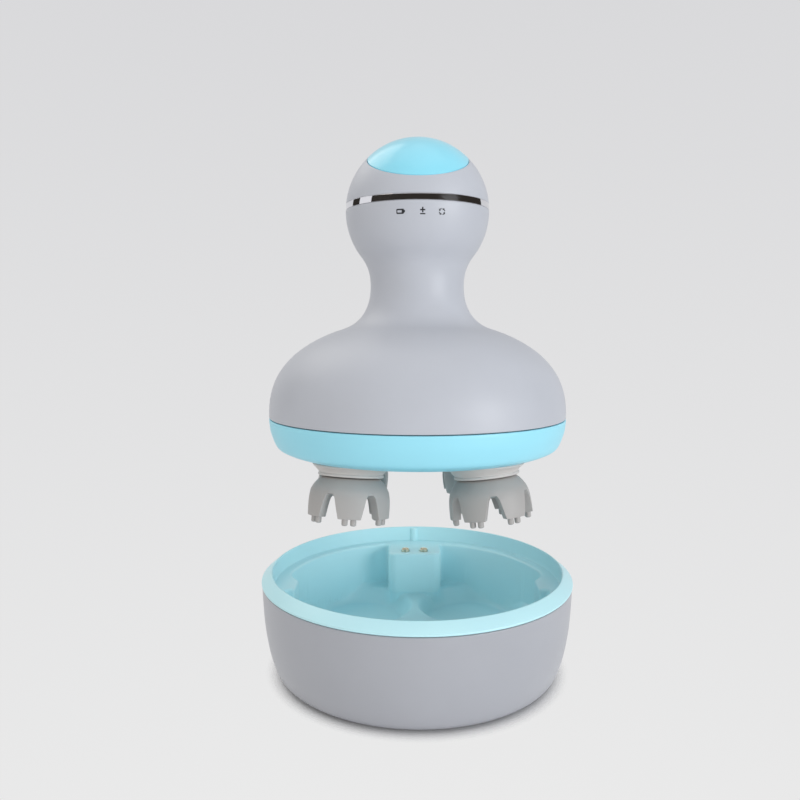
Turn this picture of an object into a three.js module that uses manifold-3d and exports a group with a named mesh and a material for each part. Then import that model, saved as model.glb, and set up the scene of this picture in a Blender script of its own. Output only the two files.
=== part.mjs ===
// Electric scalp massager above its charging dock.
// Millimetres, +Z up, front towards -Y. The origin is the centre of the dock's
// footprint on the table. Inside the handset, heights count from the seam
// between the grey dome and the blue base.

import * as THREE from 'three';
import { mergeVertices } from 'three/addons/utils/BufferGeometryUtils.js';
import Module from 'manifold-3d';

const wasm = await Module();
wasm.setup();

// Clearances
const gap = 0.3;
const runningGap = 0.25;
const boardPlay = 0.4;

// Facets round a full turn
const largeRound = 28;
const middleRound = 16;
const smallRound = 10;
const tinyRound = 8;

// Dock, outside
const dockHeight = 32.5;
const rimWidth = 3.7;
const rimThickness = 1;
const rimEdge = 0.2;
// How far the side has drawn in from the rim, at each share of the dock's height
const dockDrawIn = [[0.4, 0.8], [1, 0.54], [2.4, 0.28], [4.1, 0.11], [5.3, 0.05]];
const dockBottomDrawIn = 7;
const dockWall = 2;
const footHeight = 1;
const footRadius = 5;
const footSink = 0.5;
const footInset = 12;

// Dock, bowl. The recess goes round the handset's band, the shelf lies inside it, and
// the lugs and the pillar stand in from the bowl's wall
const recessPlay = 2;
const recessDepth = 3.45;
const shelfWidth = 3.8;
const bowlFillet = 2;
const ridgeHeight = 12.5;
const pocketHeight = 7;
const pocketRadius = 17.35;
const pocketFillet = 2.2;
const linerWall = 1.6;
const linerFloor = 1.8;
const linerChamfer = 4.5;
const lugLength = 4.4;
const lugWidth = 13;
const lugCorner = 2;
const pillarWidth = 20.8;
const pillarDepth = 14.9;
const pillarCorner = 3.5;
const ribWidth = 3;
const ribProud = 1.2;

// Dock, base plate and its screws
const plateThickness = 2;
const plateSeatInset = 1.1;
const dockScrewInset = 9;
const screwRadius = 1.4;
const screwHeadRadius = 2.8;
const screwHeadHeight = 1;
const screwDriveDepth = 0.6;
const screwDriveRadius = 1;
const dockScrewLength = 9.3;
const screwTipPlay = 0.4;
const screwBossRadius = 4;

// Charging inlet at the back
const inletWidth = 12.6;
const inletHeight = 5.8;
const inletLow = 4.9;
const inletCorner = 1.5;
const socketProud = 0.5;
const socketWidth = 9;
const socketHeight = 3.4;
const socketLength = 7.3;
const socketWall = 0.35;
const socketBack = 1.2;
const socketTongue = 0.8;
const tongueInset = 1;
const boardThickness = 1.2;
const dockBoardLow = 3.6;
const boardBackPlay = 1.7;
const boardRestInset = 1.4;
const boardRestSpread = 12;
const boardRestWidth = 2;

// Contacts
const contactSpacing = 7.3;
const contactInset = 4.3;
const sleeveRadius = 1.55;
const sleeveLength = 9.55;
const sleeveProud = 0.3;
const pinRadius = 0.75;
const pinLength = 6.9;
const pinProud = 1.3;
const holderHeight = 7.65;
const holderDepth = 5.6;
const padRadius = 1.9;
const padFlange = 1;
const padSink = 1.3;
const padThickness = 0.8;

// Handset, outside; the dome is a superellipse of revolution
const hoverHeight = 55.15;
const seamRadius = 50;
const domeHeight = 33;
const domePower = 2.5;
const domeEndDrop = 3.6;
const neckRadius = 15.7;
const neckDrop = 24.8;
const headRadius = 23.9;
const headLift = 35.3;
const headBlendDrop = 14.6;
// Bézier handles of the shoulder, the neck and the underside of the head
const shoulderHandle = [7.15, 2.25];
const neckHandles = [5.5, 3.5];
const headHandle = 4.5;
const shellWall = 2.2;
const ringHeight = 2;
const ringCentre = 1.15;
const ringSpigotReach = 1.55;
const ringSpigotWall = 1.7;
const ringSpigotPlay = 0.4;

// Blue base of the handset
const bandHeight = 11.5;
// How far the band has drawn in from the seam, at each share of its height going down
const bandInRecess = 2.3;
const bandDrawIn = [[7, 1], [4.4, 0.92], [bandInRecess, 0.79], [0.6, 0.42]];
const floorThickness = 2;
const spigotHeight = 3;
const spigotWall = 1.9;
const gasketWidth = 1;
const gasketHeight = 0.65;

// Button, its guide and switch. They share an axis that leans forward through the
// centre of the head, and heights here count along it from that centre.
const buttonLean = 28;
const buttonRadius = 16.4;
const buttonTravel = 0.8;
const buttonThickness = 1.8;
const buttonSkirt = 1.7;
const stemRadius = 2;
const guideFlangeRadius = 8;
const guideFlangeThickness = 1.5;
const guideBodyRadius = 6.2;
const guideCavityRadius = 4.7;
const guideSleeveWall = 1.3;
const guideShoulder = -3.2;
const guideTop = 9;
const mainBoardLow = -12.5;
const switchWidth = 6;
const switchHeight = 4.3;
const plungerRadius = 1.7;
const plungerHeight = 1.5;

// Drive
const gearPlay = 1.215;
const centreTeeth = 20;
const headTeeth = 16;
const reductionTeeth = 24;
const pinionTeeth = 8;
const toothTip = 0.9;
const toothRoot = 1.2;
const gearThickness = 3.5;
const reductionThickness = 2.6;
const gearStep = 0.7;
const axleRadius = 2;
const spindleRadius = 2.4;
const spindleFlat = 0.6;
const shaftBossRadius = 6.2;
const shaftBossHeight = 1.7;
const sealThickness = 1.4;
const gearPlateInset = 4.1;
const gearPlateThickness = 2;
const axleBossWall = 2.5;
const postInset = 3.7;
const postRadius = 3.5;
const plateScrewLength = 9;
const motorRadius = 10;
const motorPlay = 2;
const motorLength = 18;
const motorShaftRadius = 1;
const motorNose = 3;
const motorNoseLength = 1.2;
const motorChamfer = 0.8;
const batteryRadius = 7;
const batteryHeadroom = 20.6;
const cradleWall = 1.5;
const cradleHeight = 14;

// Massage heads
const lean = THREE.MathUtils.degToRad(9);
const hubRadius = 12.4;
const hubDrop = 5.2;
const lipRadius = 10.35;
const neckInset = 0.35;
const pegRadius = 4.5;
const pegLength = 2.2;
const clawTopRadius = 9.6;
const clawRadius = 12.8;
const clawLength = 12;
const clawWall = 2.9;
const crownThickness = 3.6;
const armCount = 6;
const notchWidth = 5.6;
const notchHeight = 7.4;
const nubRadius = 0.93;
const nubLength = 2.3;
const nubSpread = 3.3;

// Places worked out from the sizes
const recessRadius = seamRadius - bandInRecess + recessPlay;
const rimRadius = recessRadius + rimWidth;
const bowlRadius = recessRadius - shelfWidth;
const dockBottomRadius = rimRadius - dockBottomDrawIn;
const plateSeatRadius = dockBottomRadius - plateSeatInset;
const plateRadius = plateSeatRadius - gap;
const footCircle = plateRadius - footInset;
const dockScrewCircle = plateRadius - dockScrewInset;
const lugReach = bowlRadius - lugLength;
const pillarFront = bowlRadius - pillarDepth;
const contactY = pillarFront + contactInset;
const socketFace = bowlRadius + socketProud;
const dockBoardBack = bowlRadius - boardBackPlay;
const shelfHeight = dockHeight - recessDepth;
const plateLow = footHeight;
const plateTop = plateLow + plateThickness;
const linerLow = pocketHeight - linerFloor;
const linerRadius = bowlRadius + linerWall;
const recessOuter = recessRadius + linerWall - rimEdge;
const shellTop = dockHeight - rimThickness - gap;
const pillarHollow = pillarWidth / 2 - linerWall;
const pillarInnerY = pillarFront + linerWall;
const skinLow = shelfHeight - linerWall;
const seamHeight = dockHeight + hoverHeight;
const domeEnd = domeHeight - domeEndDrop;
const headHeight = domeHeight + headLift;
const neckHeight = headHeight - neckDrop;
const shellInner = seamRadius - shellWall;
const spigotRadius = shellInner - gap;
const baseInner = spigotRadius - spigotWall;
const floorTop = floorThickness - bandHeight;
const gearLow = floorTop + shaftBossHeight + gap;
const reductionLow = gearLow + gearThickness + gearStep;
const gearPlateLow = reductionLow + reductionThickness + gap;
const gearPlateTop = gearPlateLow + gearPlateThickness;
const gearPlateRadius = baseInner - gearPlateInset;
const postCircle = gearPlateRadius - postInset;
// The output gears reach out to the wall of the base, all but the play
const headCircle = (baseInner - gearPlay)
  / (1 + (headTeeth + 2 * toothTip) / (centreTeeth + headTeeth));
const headModule = 2 * headCircle / (centreTeeth + headTeeth);
// The motor stands beside the battery's cradle, and its pinion meets the reduction gear
const pinionOffset = batteryRadius + gap + cradleWall + motorPlay + motorRadius;
const reductionModule = 2 * pinionOffset / (reductionTeeth + pinionTeeth);
const hubTop = -bandHeight - gap;
const ringLow = headHeight + ringCentre - ringHeight / 2;
const ringTop = ringLow + ringHeight;
const headInner = headRadius - shellWall;
const ringSpigotRadius = headInner - ringSpigotPlay;
const ringSpigotLow = ringLow - ringSpigotReach;
const mainBoardTop = mainBoardLow + boardThickness;
const switchLow = mainBoardTop + gap;
const switchTop = switchLow + switchHeight + plungerHeight;
const buttonLow = Math.sqrt(headRadius ** 2 - buttonRadius ** 2) - buttonSkirt;

// Finishes
const finish = (color, roughness, metalness = 0) =>
  new THREE.MeshStandardMaterial({ color, roughness, metalness });
const greyPlastic = finish(0xbdbec6, 0.5);
const bluePlastic = finish(0x96dcf0, 0.42);
const chrome = finish(0xd8d8da, 0.12, 1);
const rubberGrey = finish(0xa9abb2, 0.6);
const hubGrey = finish(0xc6c8cd, 0.5);
const gold = finish(0xc9a24a, 0.3, 1);
const steel = finish(0xa8abb0, 0.35, 1);
const blackRubber = finish(0x2c2e30, 0.8);
const tealSeal = finish(0x2f5f6c, 0.7);
const gearWhite = finish(0xe8e6de, 0.45);
const boardGreen = finish(0x1f6b3c, 0.5);
const batteryWrap = finish(0x3b6ea8, 0.4);
const blackPlastic = finish(0x35383c, 0.5);

// A closed solid from any closed geometry, its faces turned outwards
function solid(geometry) {
  const bare = new THREE.BufferGeometry();
  bare.setAttribute('position', geometry.getAttribute('position').clone());
  if (geometry.index) bare.setIndex(geometry.index.clone());
  const merged = mergeVertices(bare, 1e-4);
  const points = merged.getAttribute('position').array;
  const corner = (i) => new THREE.Vector3().fromArray(points, 3 * i);
  const triangles = [];
  let volume = 0;
  for (let i = 0; i < merged.index.count; i += 3) {
    const [a, b, c] = [0, 1, 2].map((k) => merged.index.getX(i + k));
    if (a === b || b === c || c === a) continue;
    triangles.push([a, b, c]);
    volume += corner(a).dot(corner(b).cross(corner(c)));
  }
  if (volume < 0) triangles.forEach((triangle) => triangle.reverse());
  return new wasm.Manifold(new wasm.Mesh({
    numProp: 3,
    vertProperties: new Float32Array(points),
    triVerts: new Uint32Array(triangles.flat()),
  }));
}

// A solid of revolution about Z from [radius, height] points
function turned(points, facets = largeRound) {
  const outline = points.map(([r, z]) => new THREE.Vector2(r, z));
  const opensOffAxis = outline[0].x > 0 || outline.at(-1).x > 0;
  if (opensOffAxis) outline.push(outline[0].clone());
  const geometry = new THREE.LatheGeometry(outline, facets);
  geometry.rotateX(Math.PI / 2);
  return solid(geometry);
}

function rod(radius, low, high, x = 0, y = 0, facets = smallRound) {
  return turned([[0, low], [radius, low], [radius, high], [0, high]], facets).translate([x, y, 0]);
}

function tube(outer, inner, low, high, facets = smallRound) {
  return turned([[inner, low], [outer, low], [outer, high], [inner, high]], facets);
}

function block(x, y, z) {
  const [width, depth, height] = [x[1] - x[0], y[1] - y[0], z[1] - z[0]];
  const geometry = new THREE.BoxGeometry(width, depth, height);
  geometry.translate(x[0] + width / 2, y[0] + depth / 2, z[0] + height / 2);
  return solid(geometry);
}

function prism(shape, low, high, curveSegments = 4) {
  const depth = high - low;
  const geometry = new THREE.ExtrudeGeometry(shape, { depth, bevelEnabled: false, curveSegments });
  geometry.translate(0, 0, low);
  return solid(geometry);
}

function roundedRectangle(x0, x1, y0, y1, corner) {
  const shape = new THREE.Shape();
  shape.moveTo(x0 + corner, y0);
  shape.lineTo(x1 - corner, y0);
  shape.absarc(x1 - corner, y0 + corner, corner, -Math.PI / 2, 0);
  shape.lineTo(x1, y1 - corner);
  shape.absarc(x1 - corner, y1 - corner, corner, 0, Math.PI / 2);
  shape.lineTo(x0 + corner, y1);
  shape.absarc(x0 + corner, y1 - corner, corner, Math.PI / 2, Math.PI);
  shape.lineTo(x0, y0 + corner);
  shape.absarc(x0 + corner, y0 + corner, corner, Math.PI, 1.5 * Math.PI);
  return shape;
}

function union(first, ...others) {
  return others.reduce((whole, other) => whole.add(other), first);
}

function cut(body, ...tools) {
  return tools.reduce((whole, tool) => whole.subtract(tool), body);
}

function around(count, circle, firstAngle, make) {
  return Array.from({ length: count }, (_, i) => {
    const angle = firstAngle + i * 2 * Math.PI / count;
    return make(circle * Math.cos(angle), circle * Math.sin(angle));
  });
}

function addPiece(parent, name, body, material) {
  const { vertProperties, triVerts } = body.getMesh();
  const geometry = new THREE.BufferGeometry();
  geometry.setAttribute('position', new THREE.BufferAttribute(new Float32Array(vertProperties), 3));
  geometry.setIndex(new THREE.BufferAttribute(new Uint32Array(triVerts), 1));
  geometry.computeVertexNormals();
  const mesh = new THREE.Mesh(geometry, material);
  mesh.name = name;
  parent.add(mesh);
}

// Points along a circle about [r, z], from one angle to another in degrees
function arc(r, z, radius, from, to, steps) {
  return Array.from({ length: steps + 1 }, (_, i) => {
    const angle = THREE.MathUtils.degToRad(from + (to - from) * i / steps);
    return [r + radius * Math.cos(angle), z + radius * Math.sin(angle)];
  });
}

// An outline moved inwards by a wall
function inset(points, wall) {
  return points.map(([r, z], i) => {
    const before = points[Math.max(i - 1, 0)];
    const after = points[Math.min(i + 1, points.length - 1)];
    const along = new THREE.Vector2(after[0] - before[0], after[1] - before[1]).normalize();
    return [r - wall * along.y, z + wall * along.x];
  });
}

// The angle in degrees at which a circle of a given radius has a given height
function elevation(height, radius) {
  return THREE.MathUtils.radToDeg(Math.asin(height / radius));
}

function bezier(...corners) {
  return new THREE.CubicBezierCurve(...corners.map(([r, z]) => new THREE.Vector2(r, z)));
}

// Gears have straight-sided teeth with backlash, one tooth at angle turn
function gearShape(teeth, module, bore, turn = 0) {
  const pitchRadius = module * teeth / 2;
  const root = pitchRadius - toothRoot * module;
  const tip = pitchRadius + toothTip * module;
  const pitchAngle = 2 * Math.PI / teeth;
  const shape = new THREE.Shape();
  for (let tooth = 0; tooth < teeth; tooth += 1) {
    const centre = turn + tooth * pitchAngle;
    for (const [radius, share] of [[root, -0.3], [tip, -0.115], [tip, 0.115], [root, 0.3]]) {
      const angle = centre + share * pitchAngle;
      const point = [radius * Math.cos(angle), radius * Math.sin(angle)];
      if (tooth === 0 && share === -0.3) shape.moveTo(...point);
      else shape.lineTo(...point);
    }
  }
  const hole = new THREE.Path();
  hole.absarc(0, 0, bore, 0, 2 * Math.PI, true);
  shape.holes.push(hole);
  return shape;
}

// The turn that puts a gear's gap opposite a tooth of the gear that drives it,
// which has a tooth at angle 0 and lies in the direction opposite to angle
function meshTurn(angle, drivingTeeth, drivenTeeth) {
  const pitchAngle = 2 * Math.PI / drivingTeeth;
  const toGap = (Math.floor(angle / pitchAngle) + 0.5) * pitchAngle - angle;
  return angle + Math.PI - toGap * drivingTeeth / drivenTeeth;
}

// Dock

function dockOutline() {
  return [
    [rimRadius - rimEdge, shellTop],
    ...dockDrawIn.map(([drawIn, share]) => [rimRadius - drawIn, dockHeight * share]),
    [dockBottomRadius, footHeight],
  ];
}

function makeDockShell() {
  const wallPoints = dockOutline().slice(2, 5).reverse().map(([r, z]) => [r - dockWall, z + 1]);
  const shell = turned([
    ...dockOutline(),
    [plateSeatRadius, footHeight],
    [plateSeatRadius, plateTop + gap],
    ...wallPoints,
    [recessOuter + gap, skinLow - 2 * gap],
    [recessOuter + gap, shellTop],
  ]);
  return cut(shell, inletOpening(inletWidth, inletHeight));
}

function inletOpening(width, height) {
  const middle = inletLow + inletHeight / 2;
  const shape = roundedRectangle(-width / 2, width / 2, -height / 2, height / 2, inletCorner);
  const reach = rimRadius - bowlRadius + 4;
  return prism(shape, 0, reach, 2).rotate([90, 0, 0]).translate([0, rimRadius + 2, middle]);
}

function bowlCavity() {
  const bowl = turned([
    [0, ridgeHeight],
    ...arc(bowlRadius - bowlFillet, ridgeHeight + bowlFillet, bowlFillet, -90, 0, 2),
    [bowlRadius, shelfHeight + 0.1],
    [0, shelfHeight + 0.1],
  ]);
  const insideWall = rod(bowlRadius, 0, dockHeight, 0, 0, largeRound);
  const pocket = turned([
    [0, pocketHeight],
    [pocketRadius - pocketFillet, pocketHeight],
    [pocketRadius, pocketHeight + pocketFillet * 0.6],
    [pocketRadius, ridgeHeight - 0.8],
    [pocketRadius + 0.8, ridgeHeight],
    [pocketRadius + 0.8, ridgeHeight + bowlFillet],
    [0, ridgeHeight + bowlFillet],
  ], middleRound);
  const pockets = around(4, headCircle, Math.PI / 4, (x, y) => pocket.translate([x, y, 0]));
  return union(bowl, ...pockets.map((one) => one.intersect(insideWall)));
}

function pillar() {
  const half = pillarWidth / 2;
  const shape = roundedRectangle(-half, half, pillarFront, rimRadius + pillarCorner, pillarCorner);
  return prism(shape, 0, shelfHeight, 3);
}

function lug(side) {
  const half = lugWidth / 2;
  const shape = roundedRectangle(lugReach, rimRadius, -half, half, lugCorner);
  return prism(shape, 0, shelfHeight, 2).rotate([0, 0, side < 0 ? 180 : 0]);
}

function locatingRib() {
  const front = recessRadius - ribProud;
  const shape = new THREE.Shape();
  shape.moveTo(-ribWidth / 2, recessRadius + 1);
  shape.lineTo(-ribWidth / 2, recessRadius - ribProud / 3);
  shape.quadraticCurveTo(-ribWidth / 2, front, 0, front);
  shape.quadraticCurveTo(ribWidth / 2, front, ribWidth / 2, recessRadius - ribProud / 3);
  shape.lineTo(ribWidth / 2, recessRadius + 1);
  return prism(shape, 0, dockHeight - 2 * rimEdge, 3);
}

function makeDockLiner() {
  const body = turned([
    [0, linerLow],
    [linerRadius - linerChamfer, linerLow],
    [linerRadius, linerLow + linerChamfer],
    [linerRadius, skinLow - 2 * gap],
    [recessOuter, skinLow],
    [recessOuter, shellTop + gap],
    [rimRadius - rimEdge, shellTop + gap],
    [rimRadius, shellTop + gap + rimEdge],
    [rimRadius, dockHeight - rimEdge],
    [rimRadius - rimEdge, dockHeight],
    [0, dockHeight],
  ]);
  const recess = rod(recessRadius, shelfHeight, dockHeight + 1, 0, 0, largeRound);
  const bowl = cut(bowlCavity(), pillar(), lug(-1), lug(1));
  const hollow = block([-pillarHollow, pillarHollow], [pillarInnerY, bowlRadius + 0.2], [0, skinLow]);
  const window = inletOpening(inletWidth + 1, inletHeight + 1);
  const slot = block([-inletWidth / 2 - 0.5, inletWidth / 2 + 0.5], [bowlRadius - 1, rimRadius],
    [0, inletLow + inletHeight / 2]);
  const sleeveHoles = [-1, 1].map((side) => rod(sleeveRadius + gap, skinLow - 1, shelfHeight + 1,
    side * contactSpacing / 2, contactY));
  const screwHoleTop = plateLow + gap + dockScrewLength + screwTipPlay;
  const screwHoles = dockScrewPlaces().map(([x, y]) =>
    rod(screwRadius + gap, 0, screwHoleTop, x, y, tinyRound));
  return cut(body, cut(recess, locatingRib()), bowl, hollow, window, slot,
    ...sleeveHoles, ...screwHoles);
}

function dockScrewPlaces() {
  return around(4, dockScrewCircle, 0, (x, y) => [x, y]).filter(([, y]) => y < 1);
}

function makeDockBasePlate() {
  const plate = rod(plateRadius, plateLow, plateTop, 0, 0, largeRound);
  const bosses = dockScrewPlaces().map(([x, y]) =>
    rod(screwBossRadius, plateLow, linerLow - gap, x, y, tinyRound));
  const boardRests = [-1, 1].map((side) => {
    const middle = side * boardRestSpread / 2;
    return block([middle - boardRestWidth / 2, middle + boardRestWidth / 2],
      [pillarInnerY + 1, dockBoardBack - boardRestInset], [plateLow + 1, dockBoardLow - gap]);
  });
  const screwHoles = dockScrewPlaces().flatMap(([x, y]) => [
    rod(screwRadius + gap, 0, linerLow, x, y, tinyRound),
    rod(screwHeadRadius + gap, 0, plateLow + screwHeadHeight + 2 * gap, x, y, tinyRound),
  ]);
  const footSeats = around(4, footCircle, Math.PI / 4, (x, y) =>
    rod(footRadius + gap, 0, plateLow + footSink, x, y));
  return cut(union(plate, ...bosses, ...boardRests), ...screwHoles, ...footSeats);
}

function makeFoot(x, y) {
  const top = footHeight + footSink - gap;
  return turned([[0, 0], [footRadius - 0.4, 0], [footRadius, top], [0, top]], smallRound)
    .translate([x, y, 0]);
}

// A pan-head screw with a square drive, its head towards the top or the bottom
function makeScrew(headLow, length, x, y, headUp) {
  const screw = cut(
    union(rod(screwHeadRadius, 0, screwHeadHeight, 0, 0, tinyRound),
      rod(screwRadius, screwDriveDepth + 0.1, length, 0, 0, tinyRound)),
    rod(screwDriveRadius, -1, screwDriveDepth, 0, 0, 4));
  const placed = headUp ? screw.rotate([180, 0, 0]).translate([0, 0, screwHeadHeight]) : screw;
  return placed.translate([x, y, headLow]);
}

function makeDockBoard() {
  const half = pillarHollow - boardPlay;
  return block([-half, half], [pillarInnerY + boardPlay, dockBoardBack],
    [dockBoardLow, dockBoardLow + boardThickness]);
}

function makeUsbSocket() {
  const low = dockBoardLow + boardThickness + gap;
  const high = low + socketHeight;
  const half = socketWidth / 2;
  const middle = (low + high) / 2;
  const back = socketFace - socketLength;
  const can = block([-half, half], [back, socketFace], [low, high]);
  const mouth = block([socketWall - half, half - socketWall], [back + socketBack, socketFace + 1],
    [low + socketWall, high - socketWall]);
  const tongue = block([tongueInset - half, half - tongueInset],
    [back + socketBack / 2, socketFace - tongueInset],
    [middle - socketTongue / 2, middle + socketTongue / 2]);
  return union(cut(can, mouth), tongue);
}

function makePogoHolder() {
  const half = pillarHollow - boardPlay;
  const top = skinLow - gap;
  const front = pillarInnerY + boardPlay;
  const holder = block([-half, half], [front, front + holderDepth],
    [top - holderHeight, top]);
  const bores = [-1, 1].map((side) => rod(sleeveRadius + gap, 0, dockHeight,
    side * contactSpacing / 2, contactY));
  return cut(holder, ...bores);
}

function makePogoSleeve(x) {
  const top = shelfHeight + sleeveProud;
  const sleeve = rod(sleeveRadius, top - sleeveLength, top, x, contactY);
  return cut(sleeve, rod(pinRadius + gap, top - sleeveLength + 1, top + 1, x, contactY));
}

function makePogoPin(x) {
  const top = shelfHeight + pinProud;
  return turned([
    [0, top - pinLength],
    [pinRadius, top - pinLength],
    [pinRadius, top - 0.3],
    [pinRadius - 0.25, top],
    [0, top],
  ], smallRound).translate([x, contactY, 0]);
}

function buildDock() {
  const dock = new THREE.Group();
  addPiece(dock, 'dock_shell', makeDockShell(), greyPlastic);
  addPiece(dock, 'dock_liner', makeDockLiner(), bluePlastic);
  addPiece(dock, 'dock_base_plate', makeDockBasePlate(), greyPlastic);
  around(4, footCircle, Math.PI / 4, (x, y) => [x, y]).forEach(([x, y], i) =>
    addPiece(dock, `dock_foot_${i + 1}`, makeFoot(x, y), blackRubber));
  dockScrewPlaces().forEach(([x, y], i) =>
    addPiece(dock, `dock_screw_${i + 1}`, makeScrew(plateLow + gap, dockScrewLength, x, y, false), steel));
  addPiece(dock, 'dock_circuit_board', makeDockBoard(), boardGreen);
  addPiece(dock, 'dock_usb_socket', makeUsbSocket(), steel);
  addPiece(dock, 'pogo_holder', makePogoHolder(), blackPlastic);
  for (const [side, name] of [[-1, 'left'], [1, 'right']]) {
    const x = side * contactSpacing / 2;
    addPiece(dock, `pogo_sleeve_${name}`, makePogoSleeve(x), gold);
    addPiece(dock, `pogo_pin_${name}`, makePogoPin(x), gold);
  }
  return dock;
}

// Handset covers

function domePoint(height) {
  return [seamRadius * Math.sqrt(1 - (height / domeHeight) ** domePower), height];
}

// The outline of the dome, neck and lower half of the head, from the seam up
function bodyOutline() {
  const steps = 5;
  const dome = Array.from({ length: steps + 1 }, (_, i) =>
    domePoint(gap / 2 + (domeEnd - gap / 2) * Math.sin(i / steps * Math.PI / 2)));
  const shoulder = dome.at(-1);
  const neck = bezier(shoulder, [shoulder[0] - shoulderHandle[0], shoulder[1] + shoulderHandle[1]],
    [neckRadius, neckHeight - neckHandles[0]], [neckRadius, neckHeight]).getPoints(3);
  const blendAngle = -Math.asin(headBlendDrop / headRadius);
  const joint = [headRadius * Math.cos(blendAngle), headHeight - headBlendDrop];
  const beforeJoint = [joint[0] + headHandle * Math.sin(blendAngle),
    joint[1] - headHandle * Math.cos(blendAngle)];
  const flare = bezier([neckRadius, neckHeight], [neckRadius, neckHeight + neckHandles[1]],
    beforeJoint, joint).getPoints(2);
  const head = arc(0, headHeight, headRadius, elevation(-headBlendDrop, headRadius),
    elevation(ringLow - gap - headHeight, headRadius), 3);
  const curve = [...neck.slice(1), ...flare.slice(1)].map((point) => [point.x, point.y]);
  return [...dome, ...curve, ...head.slice(1)];
}

function makeMainShell() {
  const outside = bodyOutline();
  const inside = inset(outside, shellWall).slice(1);
  inside.at(-1)[1] = outside.at(-1)[1];
  const seat = [[shellInner, spigotHeight + 2 * gap], [shellInner, outside[0][1]]];
  return turned([...outside, ...inside.reverse(), ...seat]);
}

function makeTrimRing() {
  const spigotInner = ringSpigotRadius - ringSpigotWall;
  return turned([
    [spigotInner, ringSpigotLow],
    [ringSpigotRadius, ringSpigotLow],
    [ringSpigotRadius, ringLow],
    [headRadius, ringLow],
    [headRadius, ringTop],
    [spigotInner, ringTop],
  ]);
}

// The upper shell is the top of the sphere, with the leaning hole for the button
function makeUpperShell() {
  const low = ringTop + gap - headHeight;
  const outside = arc(0, 0, headRadius, elevation(low, headRadius), 90, 5);
  const inside = arc(0, 0, headInner, 90, elevation(low, headInner), 3);
  const hole = rod(buttonRadius + gap, 0, headRadius + 1, 0, 0, largeRound)
    .rotate([buttonLean, 0, 0]);
  return cut(turned([...outside, ...inside]), hole).translate([0, 0, headHeight]);
}

// The button and everything under it stand on the leaning axis
function makePowerButton() {
  const inner = headRadius - buttonThickness;
  const cap = turned([
    [buttonRadius, buttonLow],
    ...arc(0, 0, headRadius, elevation(buttonLow + buttonSkirt, headRadius), 90, 5),
    ...arc(0, 0, inner, 90, elevation(buttonLow, inner), 3),
  ]);
  return union(cap, rod(stemRadius, switchTop + buttonTravel + gap, inner + buttonThickness / 2));
}

function makeButtonGuide() {
  const bore = stemRadius + runningGap;
  const sleeve = bore + guideSleeveWall;
  const flangeTop = switchLow + guideFlangeThickness;
  return turned([
    [guideCavityRadius, switchLow],
    [guideFlangeRadius, switchLow],
    [guideFlangeRadius, flangeTop],
    [guideBodyRadius, flangeTop],
    [guideBodyRadius, guideShoulder],
    [sleeve, guideShoulder],
    [sleeve, guideTop],
    [bore, guideTop],
    [bore, switchTop + 2 * gap],
    [guideCavityRadius, switchTop + 2 * gap],
  ], middleRound);
}

// The board fits inside the head, and its raised rear edge lies under the ring's spigot
function makeMainBoard() {
  const tilt = THREE.MathUtils.degToRad(buttonLean);
  const insideHead = Math.sqrt(headInner ** 2 - mainBoardLow ** 2);
  const underRing = (ringSpigotLow - headHeight - mainBoardTop * Math.cos(tilt)) / Math.sin(tilt);
  const radius = Math.min(insideHead, underRing) - 3 * gap;
  return rod(radius, mainBoardLow, mainBoardTop, 0, 0, middleRound);
}

function makeTactSwitch() {
  const half = switchWidth / 2;
  const can = block([-half, half], [-half, half], [switchLow, switchLow + switchHeight]);
  return union(can, rod(plungerRadius, switchLow + 1, switchTop));
}

// Blue base and its seals

function makeBaseHousing() {
  const top = -gap / 2;
  const rebate = top - gasketHeight - gap;
  const gasketOuter = shellInner + gasketWidth + gap;
  const body = turned([
    [0, -bandHeight],
    ...bandDrawIn.map(([drawIn, share]) => [seamRadius - drawIn, -bandHeight * share]),
    [seamRadius, top],
    [gasketOuter, top],
    [gasketOuter, rebate],
    [spigotRadius, rebate],
    [spigotRadius, spigotHeight],
    [baseInner, spigotHeight],
    [baseInner, floorTop],
    [0, floorTop],
  ]);
  const bossTop = floorTop + shaftBossHeight;
  const bossLow = 1 - bandHeight;
  const shaftBosses = headPlaces().map(({ x, y }) => rod(shaftBossRadius, bossLow, bossTop, x, y));
  const shaftHoles = headPlaces().map(({ x, y }) =>
    rod(sealRadius() + gap, -bandHeight - 1, bossTop + 1, x, y));
  const posts = postPlaces().map(([x, y]) =>
    rod(postRadius, bossLow, gearPlateLow - gap, x, y, tinyRound));
  const postHoles = postPlaces().map(([x, y]) =>
    rod(screwRadius + gap, floorTop + 1, gearPlateTop, x, y, tinyRound));
  const axleBoss = rod(axleRadius + axleBossWall, bossLow, bossTop);
  const axleHole = rod(axleRadius + gap, floorTop, bossTop + 1);
  const padHoles = [-1, 1].map((side) => rod(padRadius + gap, -bandHeight - 1, floorTop + 1,
    side * contactSpacing / 2, contactY));
  return cut(union(body, ...shaftBosses, ...posts, axleBoss),
    ...shaftHoles, ...postHoles, axleHole, ...padHoles);
}

function makeGasket() {
  const low = -gap / 2 - gasketHeight;
  return tube(shellInner + gasketWidth, shellInner, low, -gap / 2 + 0.1, largeRound);
}

function makeChargePad(x) {
  const low = padSink - bandHeight;
  const flangeLow = floorTop + gap;
  return turned([
    [0, low],
    [padRadius, low],
    [padRadius, flangeLow],
    [padRadius + padFlange, flangeLow],
    [padRadius + padFlange, flangeLow + padThickness],
    [0, flangeLow + padThickness],
  ], smallRound).translate([x, contactY, 0]);
}

function sealRadius() {
  return spindleRadius + runningGap + sealThickness;
}

function makeShaftSeal() {
  const low = -bandHeight + gap;
  const high = floorTop + shaftBossHeight - gap;
  return tube(sealRadius(), spindleRadius + runningGap, low, high);
}

// Drive

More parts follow.
